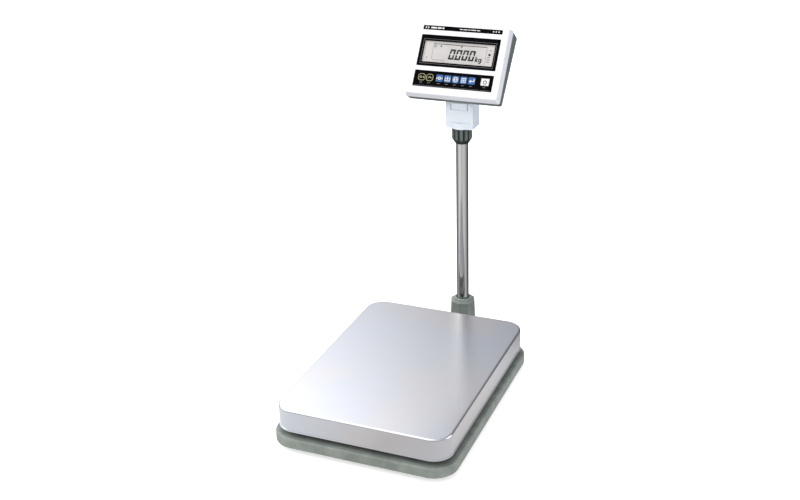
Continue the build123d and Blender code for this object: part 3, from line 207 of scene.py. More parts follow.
def fluted_plastic(name, color, ridge_highlight_color, low, high):
    """Moulded grip: painted shade in its flutes and a painted highlight on its ridges, set by distance from
    the column.
    """
    s = Shader(name, color, 0.3)
    east = s.math("SUBTRACT", s.axis("X"), TILT_AXIS.x)
    north = s.math("SUBTRACT", s.axis("Y"), TILT_AXIS.y)
    square = s.math("ADD", s.math("MULTIPLY", east, east), s.math("MULTIPLY", north, north))
    ridge_highlight_mask = s.remap(s.math("SQRT", square), low, high, 0.0, 1.0)
    patchy_ridge_highlight = s.math("MULTIPLY", ridge_highlight_mask, s.remap(s.noise(90.0, 4.0), 0.3, 0.6, 0.6, 1.0))
    # painted shade in the flutes, fading to a patchy painted highlight on the ridges
    s.drive("Base Color", s.mix(patchy_ridge_highlight, color, ridge_highlight_color))
    s.drive("Roughness", s.remap(s.noise(420.0, 2.0), 0.3, 0.7, 0.25, 0.4))
    s.bump(s.noise(2600.0, 2.0), 0.00003, 0.5)
    return s.material


def painted_casting(name, color):
    """Stove enamel over a casting: orange peel, pits, and edges lighter partly where chipped and partly as a
    painted highlight.
    """
    s = Shader(name, color, 0.5)
    dark = tuple(c * 0.82 for c in color)
    light = tuple(min(1.0, c * 1.12) for c in color)
    mottled = s.mix(s.remap(s.noise(38.0, 5.0), 0.35, 0.65, 0.0, 1.0), dark, light)
    speck = s.remap(s.noise(900.0, 2.0), 0.62, 0.72, 0.0, 0.35)
    mottled = s.mix(speck, mottled, tuple(c * 0.6 for c in color))
    # edges lighter in patches: partly chipped paint, partly a painted highlight along them
    wear_and_edge_highlight = s.math("MULTIPLY", s.edges(0.0022), s.remap(s.noise(90.0, 4.0), 0.44, 0.6, 0.25, 0.85))
    s.drive("Base Color", s.mix(wear_and_edge_highlight, mottled, tuple(min(1.0, c * 1.45 + 0.04) for c in color)))
    s.drive("Roughness", s.remap(s.noise(240.0), 0.3, 0.7, 0.38, 0.6))
    s.bump(s.noise(420.0, 3.0), 0.00018, 0.45)
    s.bump(s.noise(1900.0, 2.0), 0.00006, 0.5)
    s.set("Specular IOR Level", 0.3)
    return s.material


def brushed_steel(name, color, roughness, grain, hue, anisotropy, scratches, spread):
    """Brushed stainless: fine scratches along the grain's smallest scale and a soft cloudy tint."""
    s = Shader(name, color, roughness, 1.0)
    scratch = s.noise(1.0, 4.0, 0.65, s.stretched(grain))
    coarse = s.noise(1.0, 2.0, 0.5, s.stretched(tuple(g * 0.35 for g in grain)))
    cloud = s.remap(s.noise(5.0, 2.0), 0.35, 0.65, 0.0, 1.0)
    cool = (color[0] * (1 - hue), color[1] * (1 - hue * 0.3), color[2])
    warm = (color[0], color[1] * (1 - hue * 0.3), color[2] * (1 - hue))
    tint = s.mix(cloud, cool, warm)
    dull = tuple(c * 0.86 for c in color)
    s.drive("Base Color", s.mix(s.remap(scratch, 0.35, 0.75, 0.0, scratches), tint, dull))
    along = s.node("ShaderNodeCombineXYZ")
    along.inputs[grain.index(min(grain))].default_value = 1.0
    s.drive("Tangent", along.outputs["Vector"])
    smudge = s.remap(s.noise(9.0, 2.0), 0.3, 0.7, -spread / 3, spread / 3)
    level = s.math("ADD", smudge, s.remap(coarse, 0.3, 0.7, roughness - spread, roughness + spread))
    s.drive("Roughness", level)
    s.set("Anisotropic", anisotropy)
    s.bump(scratch, 0.000008, scratches)
    return s.material


def cast_aluminium(name, color):
    """Sand-cast aluminium with a pebbled skin."""
    s = Shader(name, color, 0.5, 0.85)
    s.drive("Base Color", s.mix(s.noise(60.0, 5.0), tuple(c * 0.8 for c in color), color))
    s.drive("Roughness", s.remap(s.noise(300.0), 0.3, 0.7, 0.42, 0.62))
    s.bump(s.noise(700.0, 3.0), 0.0003, 0.5)
    s.bump(s.cells(380.0), 0.0002, 0.3)
    return s.material


def plated_steel(name, color):
    """Bright zinc or brass with small handling marks."""
    s = Shader(name, color, 0.28, 1.0)
    s.drive("Base Color", s.mix(s.noise(180.0, 4.0), tuple(c * 0.78 for c in color), color))
    s.drive("Roughness", s.remap(s.noise(700.0), 0.3, 0.7, 0.22, 0.44))
    s.bump(s.noise(1500.0, 3.0), 0.00003, 0.4)
    return s.material


def rubber(name, color):
    """Matt rubber with a dusty bloom."""
    s = Shader(name, color, 0.82)
    dust = s.remap(s.noise(120.0, 5.0), 0.45, 0.7, 0.0, 0.5)
    s.drive("Base Color", s.mix(dust, color, tuple(c * 2.2 + 0.03 for c in color)))
    s.drive("Roughness", s.remap(s.noise(300.0), 0.3, 0.7, 0.72, 0.92))
    s.bump(s.noise(1600.0, 3.0), 0.00008, 0.5)
    return s.material


def printed_film(name, color, roughness, sheen=0.25):
    """Screen-printed polyester film: fine emboss, faint fingerprints."""
    s = Shader(name, color, roughness)
    lighter = tuple(min(1.0, c * 1.25 + 0.001) for c in color)
    s.drive("Base Color", s.mix(s.remap(s.noise(55.0, 4.0), 0.35, 0.7, 0.0, 1.0), color, lighter))
    smear = s.remap(s.noise(70.0, 5.0), 0.4, 0.7, roughness - 0.06, roughness + 0.16)
    s.drive("Roughness", smear)
    s.bump(s.noise(3200.0, 2.0), 0.000012, 0.5)
    s.set("Specular IOR Level", sheen)
    return s.material


def clear_plastic(name, color, roughness):
    """Clear acrylic sheet: see-through, with a soft mirror and light handling haze."""
    s = Shader(name, color, roughness)
    see = s.node("ShaderNodeBsdfTransparent")
    mirror = s.node("ShaderNodeBsdfGlossy")
    fresnel = s.node("ShaderNodeFresnel")
    blend = s.node("ShaderNodeMixShader")
    # lower than acrylic's 1.49, so that the mirror doesn't hide the figures
    fresnel.inputs["IOR"].default_value = 1.15
    haze = s.noise(60.0, 4.0)
    s.link(s.mix(haze, color, tuple(c * 0.97 for c in color)), see.inputs["Color"])
    s.link(s.remap(haze, 0.4, 0.7, roughness, roughness + 0.08), mirror.inputs["Roughness"])
    s.link(fresnel.outputs["Fac"], blend.inputs["Fac"])
    s.link(see.outputs["BSDF"], blend.inputs[1])
    s.link(mirror.outputs["BSDF"], blend.inputs[2])
    s.link(blend.outputs["Shader"], s.tree.nodes["Material Output"].inputs["Surface"])
    return s.material


def milled_aluminium(name, color):
    """Milled alloy with tool marks along its length."""
    s = Shader(name, color, 0.34, 1.0)
    marks = s.noise(1.0, 3.0, 0.6, s.stretched((900.0, 60.0, 900.0)))
    s.drive("Base Color", s.mix(marks, tuple(c * 0.84 for c in color), color))
    s.drive("Roughness", s.remap(marks, 0.3, 0.7, 0.26, 0.42))
    s.bump(marks, 0.00002, 0.6)
    return s.material


def circuit_board(name, color):
    """Solder mask over tracks and ground areas."""
    s = Shader(name, color, 0.35)
    tracks = s.remap(s.cells(300.0, s.stretched((1.0, 0.2, 1.0))), 0.06, 0.09, 1.0, 0.0)
    s.drive("Base Color", s.mix(tracks, color, tuple(c * 1.7 for c in color)))
    s.drive("Roughness", s.remap(s.noise(300.0), 0.3, 0.7, 0.25, 0.45))
    s.bump(tracks, 0.00003, 0.5)
    return s.material


def liquid(name, color):
    """The level's tinted liquid under its clear cap."""
    s = Shader(name, color, 0.04)
    s.set("Transmission Weight", 0.55)
    s.set("Coat Weight", 1.0)
    s.drive("Base Color", s.mix(s.noise(220.0), tuple(c * 0.88 for c in color), color))
    s.drive("Roughness", s.remap(s.noise(500.0), 0.3, 0.7, 0.03, 0.1))
    return s.material


def display_surface(name, color):
    """The display's matt polariser, paler towards its two ends, with a faint painted glow that brightens it.
    """
    s = Shader(name, color, 0.5)
    centre = middle("lcd_glass")
    across = s.math("ABSOLUTE", s.math("SUBTRACT", s.axis("X"), centre.x))
    ends = s.remap(across, 0.045, 0.08, 0.0, 1.0)
    light = tuple(min(1.0, c * 1.16) for c in color)
    base = s.mix(s.remap(s.noise(30.0, 2.0), 0.35, 0.65, 0.0, 0.6), color, light)
    s.drive("Base Color", s.mix(ends, base, light))
    s.drive("Roughness", s.remap(s.noise(240.0), 0.3, 0.7, 0.42, 0.58))
    # a painted glow: the polariser shines a little by itself to look brighter
    s.drive("Emission Color", base)
    s.set("Emission Strength", 0.3)
    s.bump(s.noise(3000.0), 0.00001, 0.4)
    return s.material


def ink(name, color, roughness=0.5):
    """Screen-printing ink: slightly uneven edge to edge."""
    s = Shader(name, color, roughness)
    s.drive("Base Color", s.mix(s.noise(900.0, 3.0), tuple(c * 0.88 for c in color), color))
    s.drive("Roughness", s.remap(s.noise(1400.0), 0.3, 0.7, roughness - 0.1, roughness + 0.1))
    s.bump(s.noise(4000.0), 0.00001, 0.4)
    return s.material


def shade(red, green, blue):
    """A colour given as it looks on a screen, as the linear triple Blender wants."""
    return tuple(c / 12.92 if c <= 0.04045 else ((c + 0.055) / 1.055) ** 2.4 for c in (red, green, blue))


BASE_GREY = shade(0.51, 0.535, 0.515)
SHELL_WHITE = shade(0.925, 0.93, 0.95)
NUT_FLUTE, NUT_RIDGE = 0.0206, 0.0218   # radii between which the nut's painted ridge highlight fades in over its painted flute shade
FINISHES = {
    "base_paint": painted_casting("base_paint_coat", BASE_GREY),
    "pan_steel": brushed_steel(
        "pan_steel_satin", shade(0.81, 0.81, 0.84), 0.24, (12.0, 1400.0, 1400.0),
        hue=0.06, anisotropy=0.25, scratches=0.2, spread=0.02,
    ),
    "tube_steel": brushed_steel(
        "tube_steel_polished", shade(0.80, 0.80, 0.80), 0.14, (1400.0, 1400.0, 10.0),
        hue=0.02, anisotropy=0.2, scratches=0.5, spread=0.055,
    ),
    "cast_aluminium": cast_aluminium("cast_aluminium_skin", shade(0.66, 0.67, 0.68)),
    "cell_aluminium": milled_aluminium("cell_aluminium_milled", shade(0.80, 0.81, 0.82)),
    "zinc_steel": plated_steel("zinc_plate", shade(0.74, 0.75, 0.76)),
    "brass": plated_steel("brass_machined", shade(0.82, 0.66, 0.38)),
    "black_rubber": rubber("black_rubber_matt", shade(0.10, 0.10, 0.10)),
    "cable_jacket": rubber("cable_jacket_matt", shade(0.16, 0.16, 0.17)),
    "white_plastic": moulded_plastic("white_case", SHELL_WHITE, shade(0.90, 0.905, 0.935), 0.36),
    "bracket_plastic": moulded_plastic(
        "bracket_white", shade(0.935, 0.96, 0.99), shade(0.91, 0.94, 0.975), 0.40
    ),
    "grey_plastic": moulded_plastic(
        "rear_case_grey", shade(0.43, 0.46, 0.46), shade(0.39, 0.425, 0.425), 0.5, 0.00008
    ),
    "nut_plastic": fluted_plastic(
        "nut_dark_green", shade(0.04, 0.075, 0.07), shade(0.37, 0.43, 0.42), NUT_FLUTE, NUT_RIDGE
    ),
    "battery_case": moulded_plastic("battery_dark", shade(0.22, 0.23, 0.25), shade(0.19, 0.20, 0.22), 0.45),
    "black_panel": printed_film("black_film", shade(0.015, 0.015, 0.02), 0.2, 0.02),
    "outline_key": printed_film("black_key_film", shade(0.02, 0.02, 0.024), 0.26, 0.03),
    "blue_key": printed_film("blue_key_film", shade(0.22, 0.37, 0.58), 0.3, 0.15),
    "white_key": printed_film("white_key_film", shade(0.93, 0.93, 0.93), 0.3),
    "clear_lens": clear_plastic("lens_clear", shade(0.98, 0.98, 0.98), 0.03),
    "clear_acrylic": liquid("level_liquid", shade(0.80, 0.90, 0.55)),
    "lcd_surface": display_surface("lcd_polariser", shade(0.80, 0.785, 0.78)),
    "backlight": printed_film("backlight_sheet", shade(0.92, 0.92, 0.90), 0.5),
    "board_green": circuit_board("board_mask", shade(0.08, 0.36, 0.20)),
}
for node in NODES.values():
    for slot in node.material_slots:
        slot.material = FINISHES[slot.material.name]

PALE_INK = ink("ink_pale", shade(0.88, 0.88, 0.86))
YELLOW_INK = ink("ink_pale_yellow", shade(0.80, 0.78, 0.60))
DARK_INK = ink("ink_dark", shade(0.12, 0.13, 0.14))
GREY_INK = ink("ink_grey", shade(0.58, 0.58, 0.59))
LCD_INK = ink("lcd_segment", shade(0.05, 0.05, 0.06), 0.7)
LCD_FAINT = ink("lcd_segment_faint", shade(0.38, 0.37, 0.36), 0.4)


# ---------------------------------------------------------------- outlines, in millimetres
CORNER_STEPS = 5
SHARPEST_MITRE = 0.35    # the cosine at which a mitre stops growing


def arc(centre, radius, start, end, steps):
    """Points along an arc, in degrees."""
    angles = [math.radians(start + (end - start) * i / steps) for i in range(steps + 1)]
    return [(centre[0] + radius * math.cos(a), centre[1] + radius * math.sin(a)) for a in angles]


def octagon(half_x, half_y, cut):
    """A box's outline about the origin, with its corners cut off."""
    return [
        (half_x - cut, half_y), (half_x, half_y - cut), (half_x, cut - half_y), (half_x - cut, -half_y),
        (cut - half_x, -half_y), (-half_x, cut - half_y), (-half_x, half_y - cut), (cut - half_x, half_y),
    ]


def rounded(x0, y0, x1, y1, radius):
    """A rectangle's outline with rounded corners."""
    outline = []
    for x, y, start in (
        (x1 - radius, y1 - radius, 0), (x0 + radius, y1 - radius, 90),
        (x0 + radius, y0 + radius, 180), (x1 - radius, y0 + radius, 270),
    ):
        outline += arc((x, y), radius, start, start + 90, CORNER_STEPS)
    return outline


def anticlockwise(outline):
    """The outline, reversed if it runs clockwise."""
    area = sum(a[0] * b[1] - b[0] * a[1] for a, b in zip(outline, outline[1:] + outline[:1]))
    return outline if area > 0 else outline[::-1]


def offset(path, distance, closed):
    """A path moved sideways, mitred at its corners."""
    count = len(path)
    moved = []
    for i, (x, y) in enumerate(path):
        before = path[i - 1] if closed or i > 0 else None
        after = path[(i + 1) % count] if closed or i < count - 1 else None
        normals = []
        for a, b in ((before, (x, y)), ((x, y), after)):
            if a is not None and b is not None:
                dx, dy = b[0] - a[0], b[1] - a[1]
                length = math.hypot(dx, dy)
                normals.append((-dy / length, dx / length))
        nx, ny = sum(n[0] for n in normals), sum(n[1] for n in normals)
        size = math.hypot(nx, ny)
        nx, ny = nx / size, ny / size
        reach = distance / max(nx * normals[0][0] + ny * normals[0][1], SHARPEST_MITRE)
        moved.append((x + nx * reach, y + ny * reach))
    return moved


# ---------------------------------------------------------------- thin prints and mouldings
DISC_SIDES = 20


def linked(name, mesh, material):
    """An object in the scene, made from a bmesh that is then freed."""
    data = bpy.data.meshes.new(name)
    mesh.to_mesh(data)
    mesh.free()
    data.materials.append(material)
    made = bpy.data.objects.new(name, data)
    bpy.context.scene.collection.objects.link(made)
    return made


class Relief:
    """Closed low prisms on a plane: printed marks, segments and moulded ribs, in millimetres."""

    def __init__(self, name, origin, right=RIGHT, up=UP, out=OUT):
        self.name = name
        self.origin = origin
        self.axes = (right, up, out)
        self.mesh = bmesh.new()

    def point(self, x, y, z):
        right, up, out = self.axes
        return self.mesh.verts.new(self.origin + (right * x + up * y + out * z) * MM)

    def polygon(self, outline, low, high):
        """A prism over a closed outline that runs anticlockwise."""
        bottom = [self.point(x, y, low) for x, y in outline]
        top = [self.point(x, y, high) for x, y in outline]
        self.mesh.faces.new(reversed(bottom))
        self.mesh.faces.new(top)
        for i in range(len(outline)):
            j = (i + 1) % len(outline)
            self.mesh.faces.new((bottom[i], bottom[j], top[j], top[i]))

    def box(self, x0, y0, x1, y1, low, high):
        self.polygon([(x0, y0), (x1, y0), (x1, y1), (x0, y1)], low, high)

    def disc(self, x, y, radius, low, high):
        self.polygon(arc((x, y), radius, 0, 360 - 360 / DISC_SIDES, DISC_SIDES - 1), low, high)

    def line(self, path, width, low, high, closed=False):
        """A stroke of even width along a path, with mitred corners."""
        left, right = offset(path, width / 2, closed), offset(path, -width / 2, closed)
        count = len(path)
        rings = []
        for i in range(count):
            corners = [(left[i], low), (right[i], low), (right[i], high), (left[i], high)]
            rings.append([self.point(x, y, z) for (x, y), z in corners])
        for i in range(count if closed else count - 1):
            a, b = rings[i], rings[(i + 1) % count]
            for k in range(4):
                self.mesh.faces.new((a[k], b[k], b[(k + 1) % 4], a[(k + 1) % 4]))
        if not closed:
            self.mesh.faces.new(reversed(rings[0]))
            self.mesh.faces.new(rings[-1])

    def done(self, material, body, slot):
        """Make the piece, with its faces turned outwards, and let it ride."""
        bmesh.ops.recalc_face_normals(self.mesh, faces=self.mesh.faces)
        made = linked(self.name, self.mesh, material)
        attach(made, body)


# ---- bottom and top of a print, out from the surface that it lies on ----
LIFT = 0.02
SEGMENT = (LIFT, LIFT + 0.12)
FAINT_SEGMENT = (LIFT, LIFT + 0.1)
LEGEND = (LIFT, 0.1)
BORDER = (LIFT, 0.08)


# ---------------------------------------------------------------- the display, which shows 0.000 kg
DIGIT_WIDTH, DIGIT_HEIGHT, STROKE, GAP = 11.8, 22.8, 3.7, 0.15
SLANT = math.tan(math.radians(8.5))
DIGIT_CENTRES = (-14.0, 0.7, 15.4, 30.1)
DIGITS_Y = -2.65


def slanted(points, x, y):
    """Digit points leaned over and moved to their place."""
    return [(x + px + (py - DIGIT_HEIGHT / 2) * SLANT, y + py - DIGIT_HEIGHT / 2) for px, py in points]


def digit_zero(relief, x, y):
    """The six outer segments of a seven-segment figure, about the centre (x, y)."""
    half, h, t, g, mid = DIGIT_WIDTH / 2, DIGIT_HEIGHT, STROKE, GAP, DIGIT_HEIGHT / 2
    bars = [
        [(-half + g, h), (-half + t + g, h - t), (half - t - g, h - t), (half - g, h)],
        [(-half + g, 0), (half - g, 0), (half - t - g, t), (-half + t + g, t)],
    ]
    for side in (-1, 1):
        for base, tip in ((0, mid), (h, mid)):
            way = 1 if tip > base else -1
            bar = [
                (side * half, base + way * g),
                (side * half, tip - way * g),
                (side * (half - t), tip - way * (g + t / 2)),
                (side * (half - t), base + way * (t + g)),
            ]
            bars.append(bar)
    for bar in bars:
        relief.polygon(slanted(bar, x, y), *SEGMENT)


def unit_kg(relief):
    """The unit beside the figures."""
    relief.line([(39.0, -15.2), (40.6, -3.8)], 2.2, *SEGMENT)
    relief.line([(44.2, -7.6), (40.6, -11.0), (44.2, -15.0)], 2.0, *SEGMENT)
    relief.line(arc((49.0, -11.0), 2.7, 0, 342, 19), 2.0, *SEGMENT, closed=True)
    relief.line([(52.2, -7.8), (51.6, -14.6), (49.8, -17.2), (46.4, -17.0)], 2.0, *SEGMENT)


def small_marks(relief):
    """The ruled line above the figures and the dark marks around them."""
    relief.line([(-58.6, 18.4), (60.0, 18.4)], 1.3, *SEGMENT)
    relief.polygon([(1.8, 16.8), (4.4, 12.8), (7.0, 16.8)], *SEGMENT)
    relief.line(arc((-54.0, 13.6), 2.3, 0, 340, 17), 1.0, *SEGMENT, closed=True)
    relief.polygon([(-42.4, 11.6), (-37.8, 13.8), (-42.4, 16.0)], *SEGMENT)
    relief.box(-70.0, -14.0, -67.9, -11.9, *SEGMENT)
    relief.line(arc((69.0, 10.0), 2.6, 20, 160, 8), 0.8, *SEGMENT)
    relief.disc(67.6, 2.6, 2.6, *SEGMENT)


def lcd_segments():
    relief = Relief("lcd_segments", front("lcd_glass"))
    for x in DIGIT_CENTRES:
        digit_zero(relief, x, DIGITS_Y)
    # the decimal point
    relief.box(-8.7, DIGITS_Y - 11.2, -6.4, DIGITS_Y - 8.9, *SEGMENT)
    unit_kg(relief)
    small_marks(relief)
    relief.done(LCD_INK, "indicator", "lcd_surface")


def lcd_marks():
    """The faint rules at the display's ends and the segments that are off."""
    relief = Relief("lcd_marks", front("lcd_glass"))
    for x in (-58.0, 60.5):
        relief.line([(x, 16.5), (x, -16.0)], 0.5, *FAINT_SEGMENT)
    for step in range(5):
        relief.box(-55.0 + step * 5.5, -17.6, -52.0 + step * 5.5, -16.4, *FAINT_SEGMENT)
    for step in range(3):
        relief.box(63.5, -4.0 - step * 5.0, 69.5, -2.6 - step * 5.0, *FAINT_SEGMENT)
    relief.done(LCD_FAINT, "indicator", "lcd_surface")


lcd_segments()
lcd_marks()


# ---------------------------------------------------------------- key legends
def draw_unit(relief):
    relief.line(octagon(7.3, 7.1, 3.2), 0.8, *LEGEND, closed=True)
    relief.line(arc((-2.0, 0.0), 2.2, 0, 340, 17), 0.8, *LEGEND, closed=True)
    relief.line([(2.2, 0.0), (5.4, 0.0)], 0.9, *LEGEND)
    relief.box(3.35, 0.6, 4.25, 2.0, *LEGEND)
    relief.box(3.35, -2.0, 4.25, -0.6, *LEGEND)


def draw_light(relief):
    relief.line(octagon(7.3, 7.1, 3.2), 0.8, *LEGEND, closed=True)
    relief.line([(-4.0, -1.8), (0.0, 2.4), (4.0, -1.8)], 1.1, *LEGEND)


def draw_zero(relief):
    relief.line(arc((0.0, 0.0), 2.6, 0, 340, 17), 1.7, *LEGEND, closed=True)
    for side in (-1, 1):
        arrow = [(side * 6.6, 2.8), (side * 6.6, -2.8), (side * 3.9, 0.0)]
        relief.polygon(anticlockwise(arrow), *LEGEND)


def draw_tare(relief):
    relief.line([(-5.0, 3.4), (-5.0, -4.2), (5.0, -4.2), (5.0, 3.4)], 1.7, *LEGEND)
    relief.line([(0.0, 5.2), (0.0, 1.2)], 1.8, *LEGEND)
    relief.polygon([(-3.0, 1.3), (0.0, -2.4), (3.0, 1.3)], *LEGEND)


def draw_hold(relief):
    relief.line(arc((0.0, 0.0), 5.0, 0, 350, 35), 1.5, *LEGEND, closed=True)
    for side in (-1, 1):
        relief.box(side * 1.7 - 0.9, -2.6, side * 1.7 + 0.9, 2.6, *LEGEND)


def draw_sample(relief):
    for row in (-1, 0, 1):
        for column in (-1, 0, 1):
            x, y = column * 3.8, row * 3.8
            relief.box(x - 1.35, y - 1.35, x + 1.35, y + 1.35, *LEGEND)


def draw_set(relief):
    relief.line([(5.0, 4.4), (5.0, -0.8), (-2.2, -0.8)], 1.8, *LEGEND)
    relief.polygon([(-5.8, -0.8), (-1.6, -4.2), (-1.6, 2.6)], *LEGEND)


def draw_power(relief):
    relief.line(arc((0.0, -0.6), 3.6, 125, 415, 32), 1.9, *LEGEND)
    relief.line([(0.0, 4.6), (0.0, 0.2)], 1.9, *LEGEND)
    relief.line(octagon(7.9, 6.9, 1.0), 0.4, *LEGEND, closed=True)


KEYS = (
    ("key_unit", YELLOW_INK, "outline_key", draw_unit),
    ("key_light", YELLOW_INK, "outline_key", draw_light),
    ("key_zero", PALE_INK, "blue_key", draw_zero),
    ("key_tare", PALE_INK, "blue_key", draw_tare),
    ("key_hold", PALE_INK, "blue_key", draw_hold),
    ("key_sample", PALE_INK, "blue_key", draw_sample),
    ("key_set", PALE_INK, "blue_key", draw_set),
    ("key_power", DARK_INK, "white_key", draw_power),
)
for key, material, slot, draw in KEYS:
    legend = Relief(key + "_legend", front(key))
    draw(legend)
    legend.done(material, key + "_cap", slot)


# ---------------------------------------------------------------- panel prints, with bars for words
CAPTION_DROP = 11.6
CAPTION_BARS = ((-3.2, -0.4), (0.3, 2.4))
LABEL_TALL_BARS = ((-70.4, 13.0), (-55.6, 8.4), (-45.4, 4.6))
LABEL_LOW_BARS = ((-6.0, 6.0), (1.6, 9.0), (12.2, 5.0), (18.8, 11.0), (31.4, 7.0))
WINDOW_HALF_X, WINDOW_HALF_Y, WINDOW_Y = 80.6, 27.0, -2.0


def key_captions():
    """Two bars under each key and the rule across the key panel."""
    panel = front("key_panel")
    relief = Relief("key_captions", panel)
    for key, *_ in KEYS:
        place = front(key) - panel
        x, y = place.dot(RIGHT) / MM, place.dot(UP) / MM - CAPTION_DROP
        for start, end in CAPTION_BARS:
            relief.box(x + start, y - 0.4, x + end, y + 0.4, *LEGEND)
    relief.line([(-84.0, -15.6), (84.0, -15.6)], 0.35, *LEGEND)
    relief.done(GREY_INK, "indicator", "black_panel")


def top_label_marks():
    """Chevrons, two sizes of bars and three dots along the label above the display."""
    relief = Relief("top_label_marks", front("top_label"))
    for x in (-83.0, -77.6):
        relief.line([(x, -2.3), (x + 2.6, 0.0), (x, 2.3)], 1.3, *LEGEND)
    for bars, half in ((LABEL_TALL_BARS, 1.7), (LABEL_LOW_BARS, 0.9)):
        for x, length in bars:
            relief.box(x, -half, x + length, half, *LEGEND)
    for step in range(3):
        relief.disc(68.0 + step * 6.0, 0.0, 1.5, *LEGEND)
    relief.done(PALE_INK, "indicator", "black_panel")


def window_border():
    """The thin frame line printed round the display's window."""
    relief = Relief("window_border", front("display_frame"))
    low, high = WINDOW_Y - WINDOW_HALF_Y, WINDOW_Y + WINDOW_HALF_Y
    corners = [(-WINDOW_HALF_X, low), (WINDOW_HALF_X, low), (WINDOW_HALF_X, high), (-WINDOW_HALF_X, high)]
    relief.line(corners, 0.4, *BORDER, closed=True)
    relief.done(GREY_INK, "indicator", "black_panel")


key_captions()
top_label_marks()
window_border()


# ---------------------------------------------------------------- mouldings on the rear case
def rear_relief(name, node):
    """A relief that faces backwards; its heights count up from the tilt axis."""
    return Relief(name, rear(node), -RIGHT, UP, -OUT)


def rear_louvres():
    """Eight raised louvres up each side."""
    relief = rear_relief("rear_louvres", "rear_shell")
    for side in (-1, 1):
        for step in range(8):
            x, y = side * 66.5, 64.0 + step * 6.4
            relief.polygon(rounded(x - 6.5, y - 1.2, x + 6.5, y + 1.2, 1.15), -0.3, 1.6)
    relief.done(FINISHES["grey_plastic"], "indicator", "grey_plastic")


def blank_plate():
    """A metal plate with a ruled border and five blank lines."""
    relief = rear_relief("blank_plate", "rear_shell")
    relief.polygon(rounded(41.0, 10.0, 71.0, 48.0, 1.5), -0.2, 0.35)
    relief.done(FINISHES["zinc_steel"], "indicator", "zinc_steel")
    rules = rear_relief("blank_plate_rules", "rear_shell")
    rules.line(rounded(42.4, 11.4, 69.6, 46.6, 1.0), 0.4, 0.3, 0.45, closed=True)
    for step in range(5):
        rules.box(45.0, 16.0 + step * 6.0, 67.0, 16.4 + step * 6.0, 0.3, 0.45)
    rules.done(DARK_INK, "indicator", "zinc_steel")


def battery_cover_ridges():
    """Six finger ridges."""
    relief = rear_relief("battery_cover_ridges", "battery_cover")
    for step in range(6):
        y = 106.0 + step * 2.6
        relief.polygon(rounded(-17.0, y, 17.0, y + 1.2, 0.55), -0.3, 1.1)
    relief.done(FINISHES["grey_plastic"], "indicator", "grey_plastic")


rear_louvres()
blank_plate()
battery_cover_ridges()


# ---------------------------------------------------------------- the cable's bend
CABLE_RADIUS = 0.0023
CABLE_SIDES = 14
STEPS_PER_SPAN = 8
CASE_ENTRY = UP * 0.0095    # the cable enters the case this far up from the tilt axis's level
INSIDE_CASE = OUT * 0.006
# millimetres behind and above the tilt axis: out of the case, under the knuckle, down the column
LOOP = (
    (29.5, -9.5), (33.5, -15.5), (30.0, -21.6), (21.0, -22.9),
    (10.0, -22.9), (3.0, -24.6), (0.0, -31.0), (0.0, -54.0),
)


def smooth_curve(path):
    """A Catmull-Rom curve through the points of a path."""
    ends = [2 * path[0] - path[1], *path, 2 * path[-1] - path[-2]]
    curve = []
    for i in range(1, len(ends) - 2):
        a, b, c, d = ends[i - 1 : i + 3]
        for k in range(STEPS_PER_SPAN):
            t = k / STEPS_PER_SPAN
            square = (2 * a - 5 * b + 4 * c - d) * t**2
            cube = (3 * b - a - 3 * c + d) * t**3
            curve.append(0.5 * (2 * b + (c - a) * t + square + cube))
    return [*curve, path[-1]]


def cable(name, path):
    """A round cable along a smooth curve through the points of a path, in metres."""
    curve = smooth_curve(path)
    turns = [2 * math.pi * k / CABLE_SIDES for k in range(CABLE_SIDES)]
    mesh = bmesh.new()
    rings = []
    for i, point in enumerate(curve):
        along = (curve[min(i + 1, len(curve) - 1)] - curve[max(i - 1, 0)]).normalized()
        across = along.cross(RIGHT)
        spokes = [(RIGHT * math.cos(t) + across * math.sin(t)) * CABLE_RADIUS for t in turns]
        rings.append([mesh.verts.new(point + spoke) for spoke in spokes])
    for a, b in zip(rings, rings[1:]):
        for k in range(CABLE_SIDES):
            j = (k + 1) % CABLE_SIDES
            mesh.faces.new((a[k], a[j], b[j], b[k]))
    mesh.faces.new(rings[0])
    mesh.faces.new(rings[-1])
    bmesh.ops.recalc_face_normals(mesh, faces=mesh.faces)
    for face in mesh.faces:
        face.smooth = len(face.verts) == 4
    return linked(name, mesh, FINISHES["cable_jacket"])


def cable_bend():
    """From inside the case, under the knuckle and into the column's top."""
    head_end = rear("head_cable") + CASE_ENTRY
    path = [head_end + INSIDE_CASE, head_end]
    path += [TILT_AXIS + Vector((0, y, z)) * MM for y, z in LOOP]
    made = cable("cable_bend", path)
    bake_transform(made)


cable_bend()


# ---------------------------------------------------------------- floor, light and camera
# Only rays from the camera see the plain pale floor and wall. All other rays, and so the steel's
# reflections, meet soft bands of light: bearing in degrees, level and tint.
FLOOR_GLOW = 0.5
NEUTRAL, WARM, COOL = (1.0, 1.0, 1.0), (1.0, 0.955, 0.90), (0.93, 0.965, 1.02)
FLOOR_RING = (
    (-180, 0.7, WARM), (-125, 1.0, NEUTRAL), (-80, 0.3, NEUTRAL), (-50, 0.1, COOL),
    (100, 0.1, COOL), (150, 1.4, NEUTRAL), (180, 0.7, WARM),
)
WALL_RING = (
    (-180, 0.8, NEUTRAL), (-90, 0.5, NEUTRAL), (0, 0.2, COOL), (20, 0.3, COOL), (40, 2.5, NEUTRAL),
    (100, 1.0, NEUTRAL), (180, 0.8, NEUTRAL),
)
# the wall's light grows between these heights, as the sine of the elevation, and these gains
WALL_LOW, WALL_HIGH = (0.3, 0.44), (0.6, 1.75)


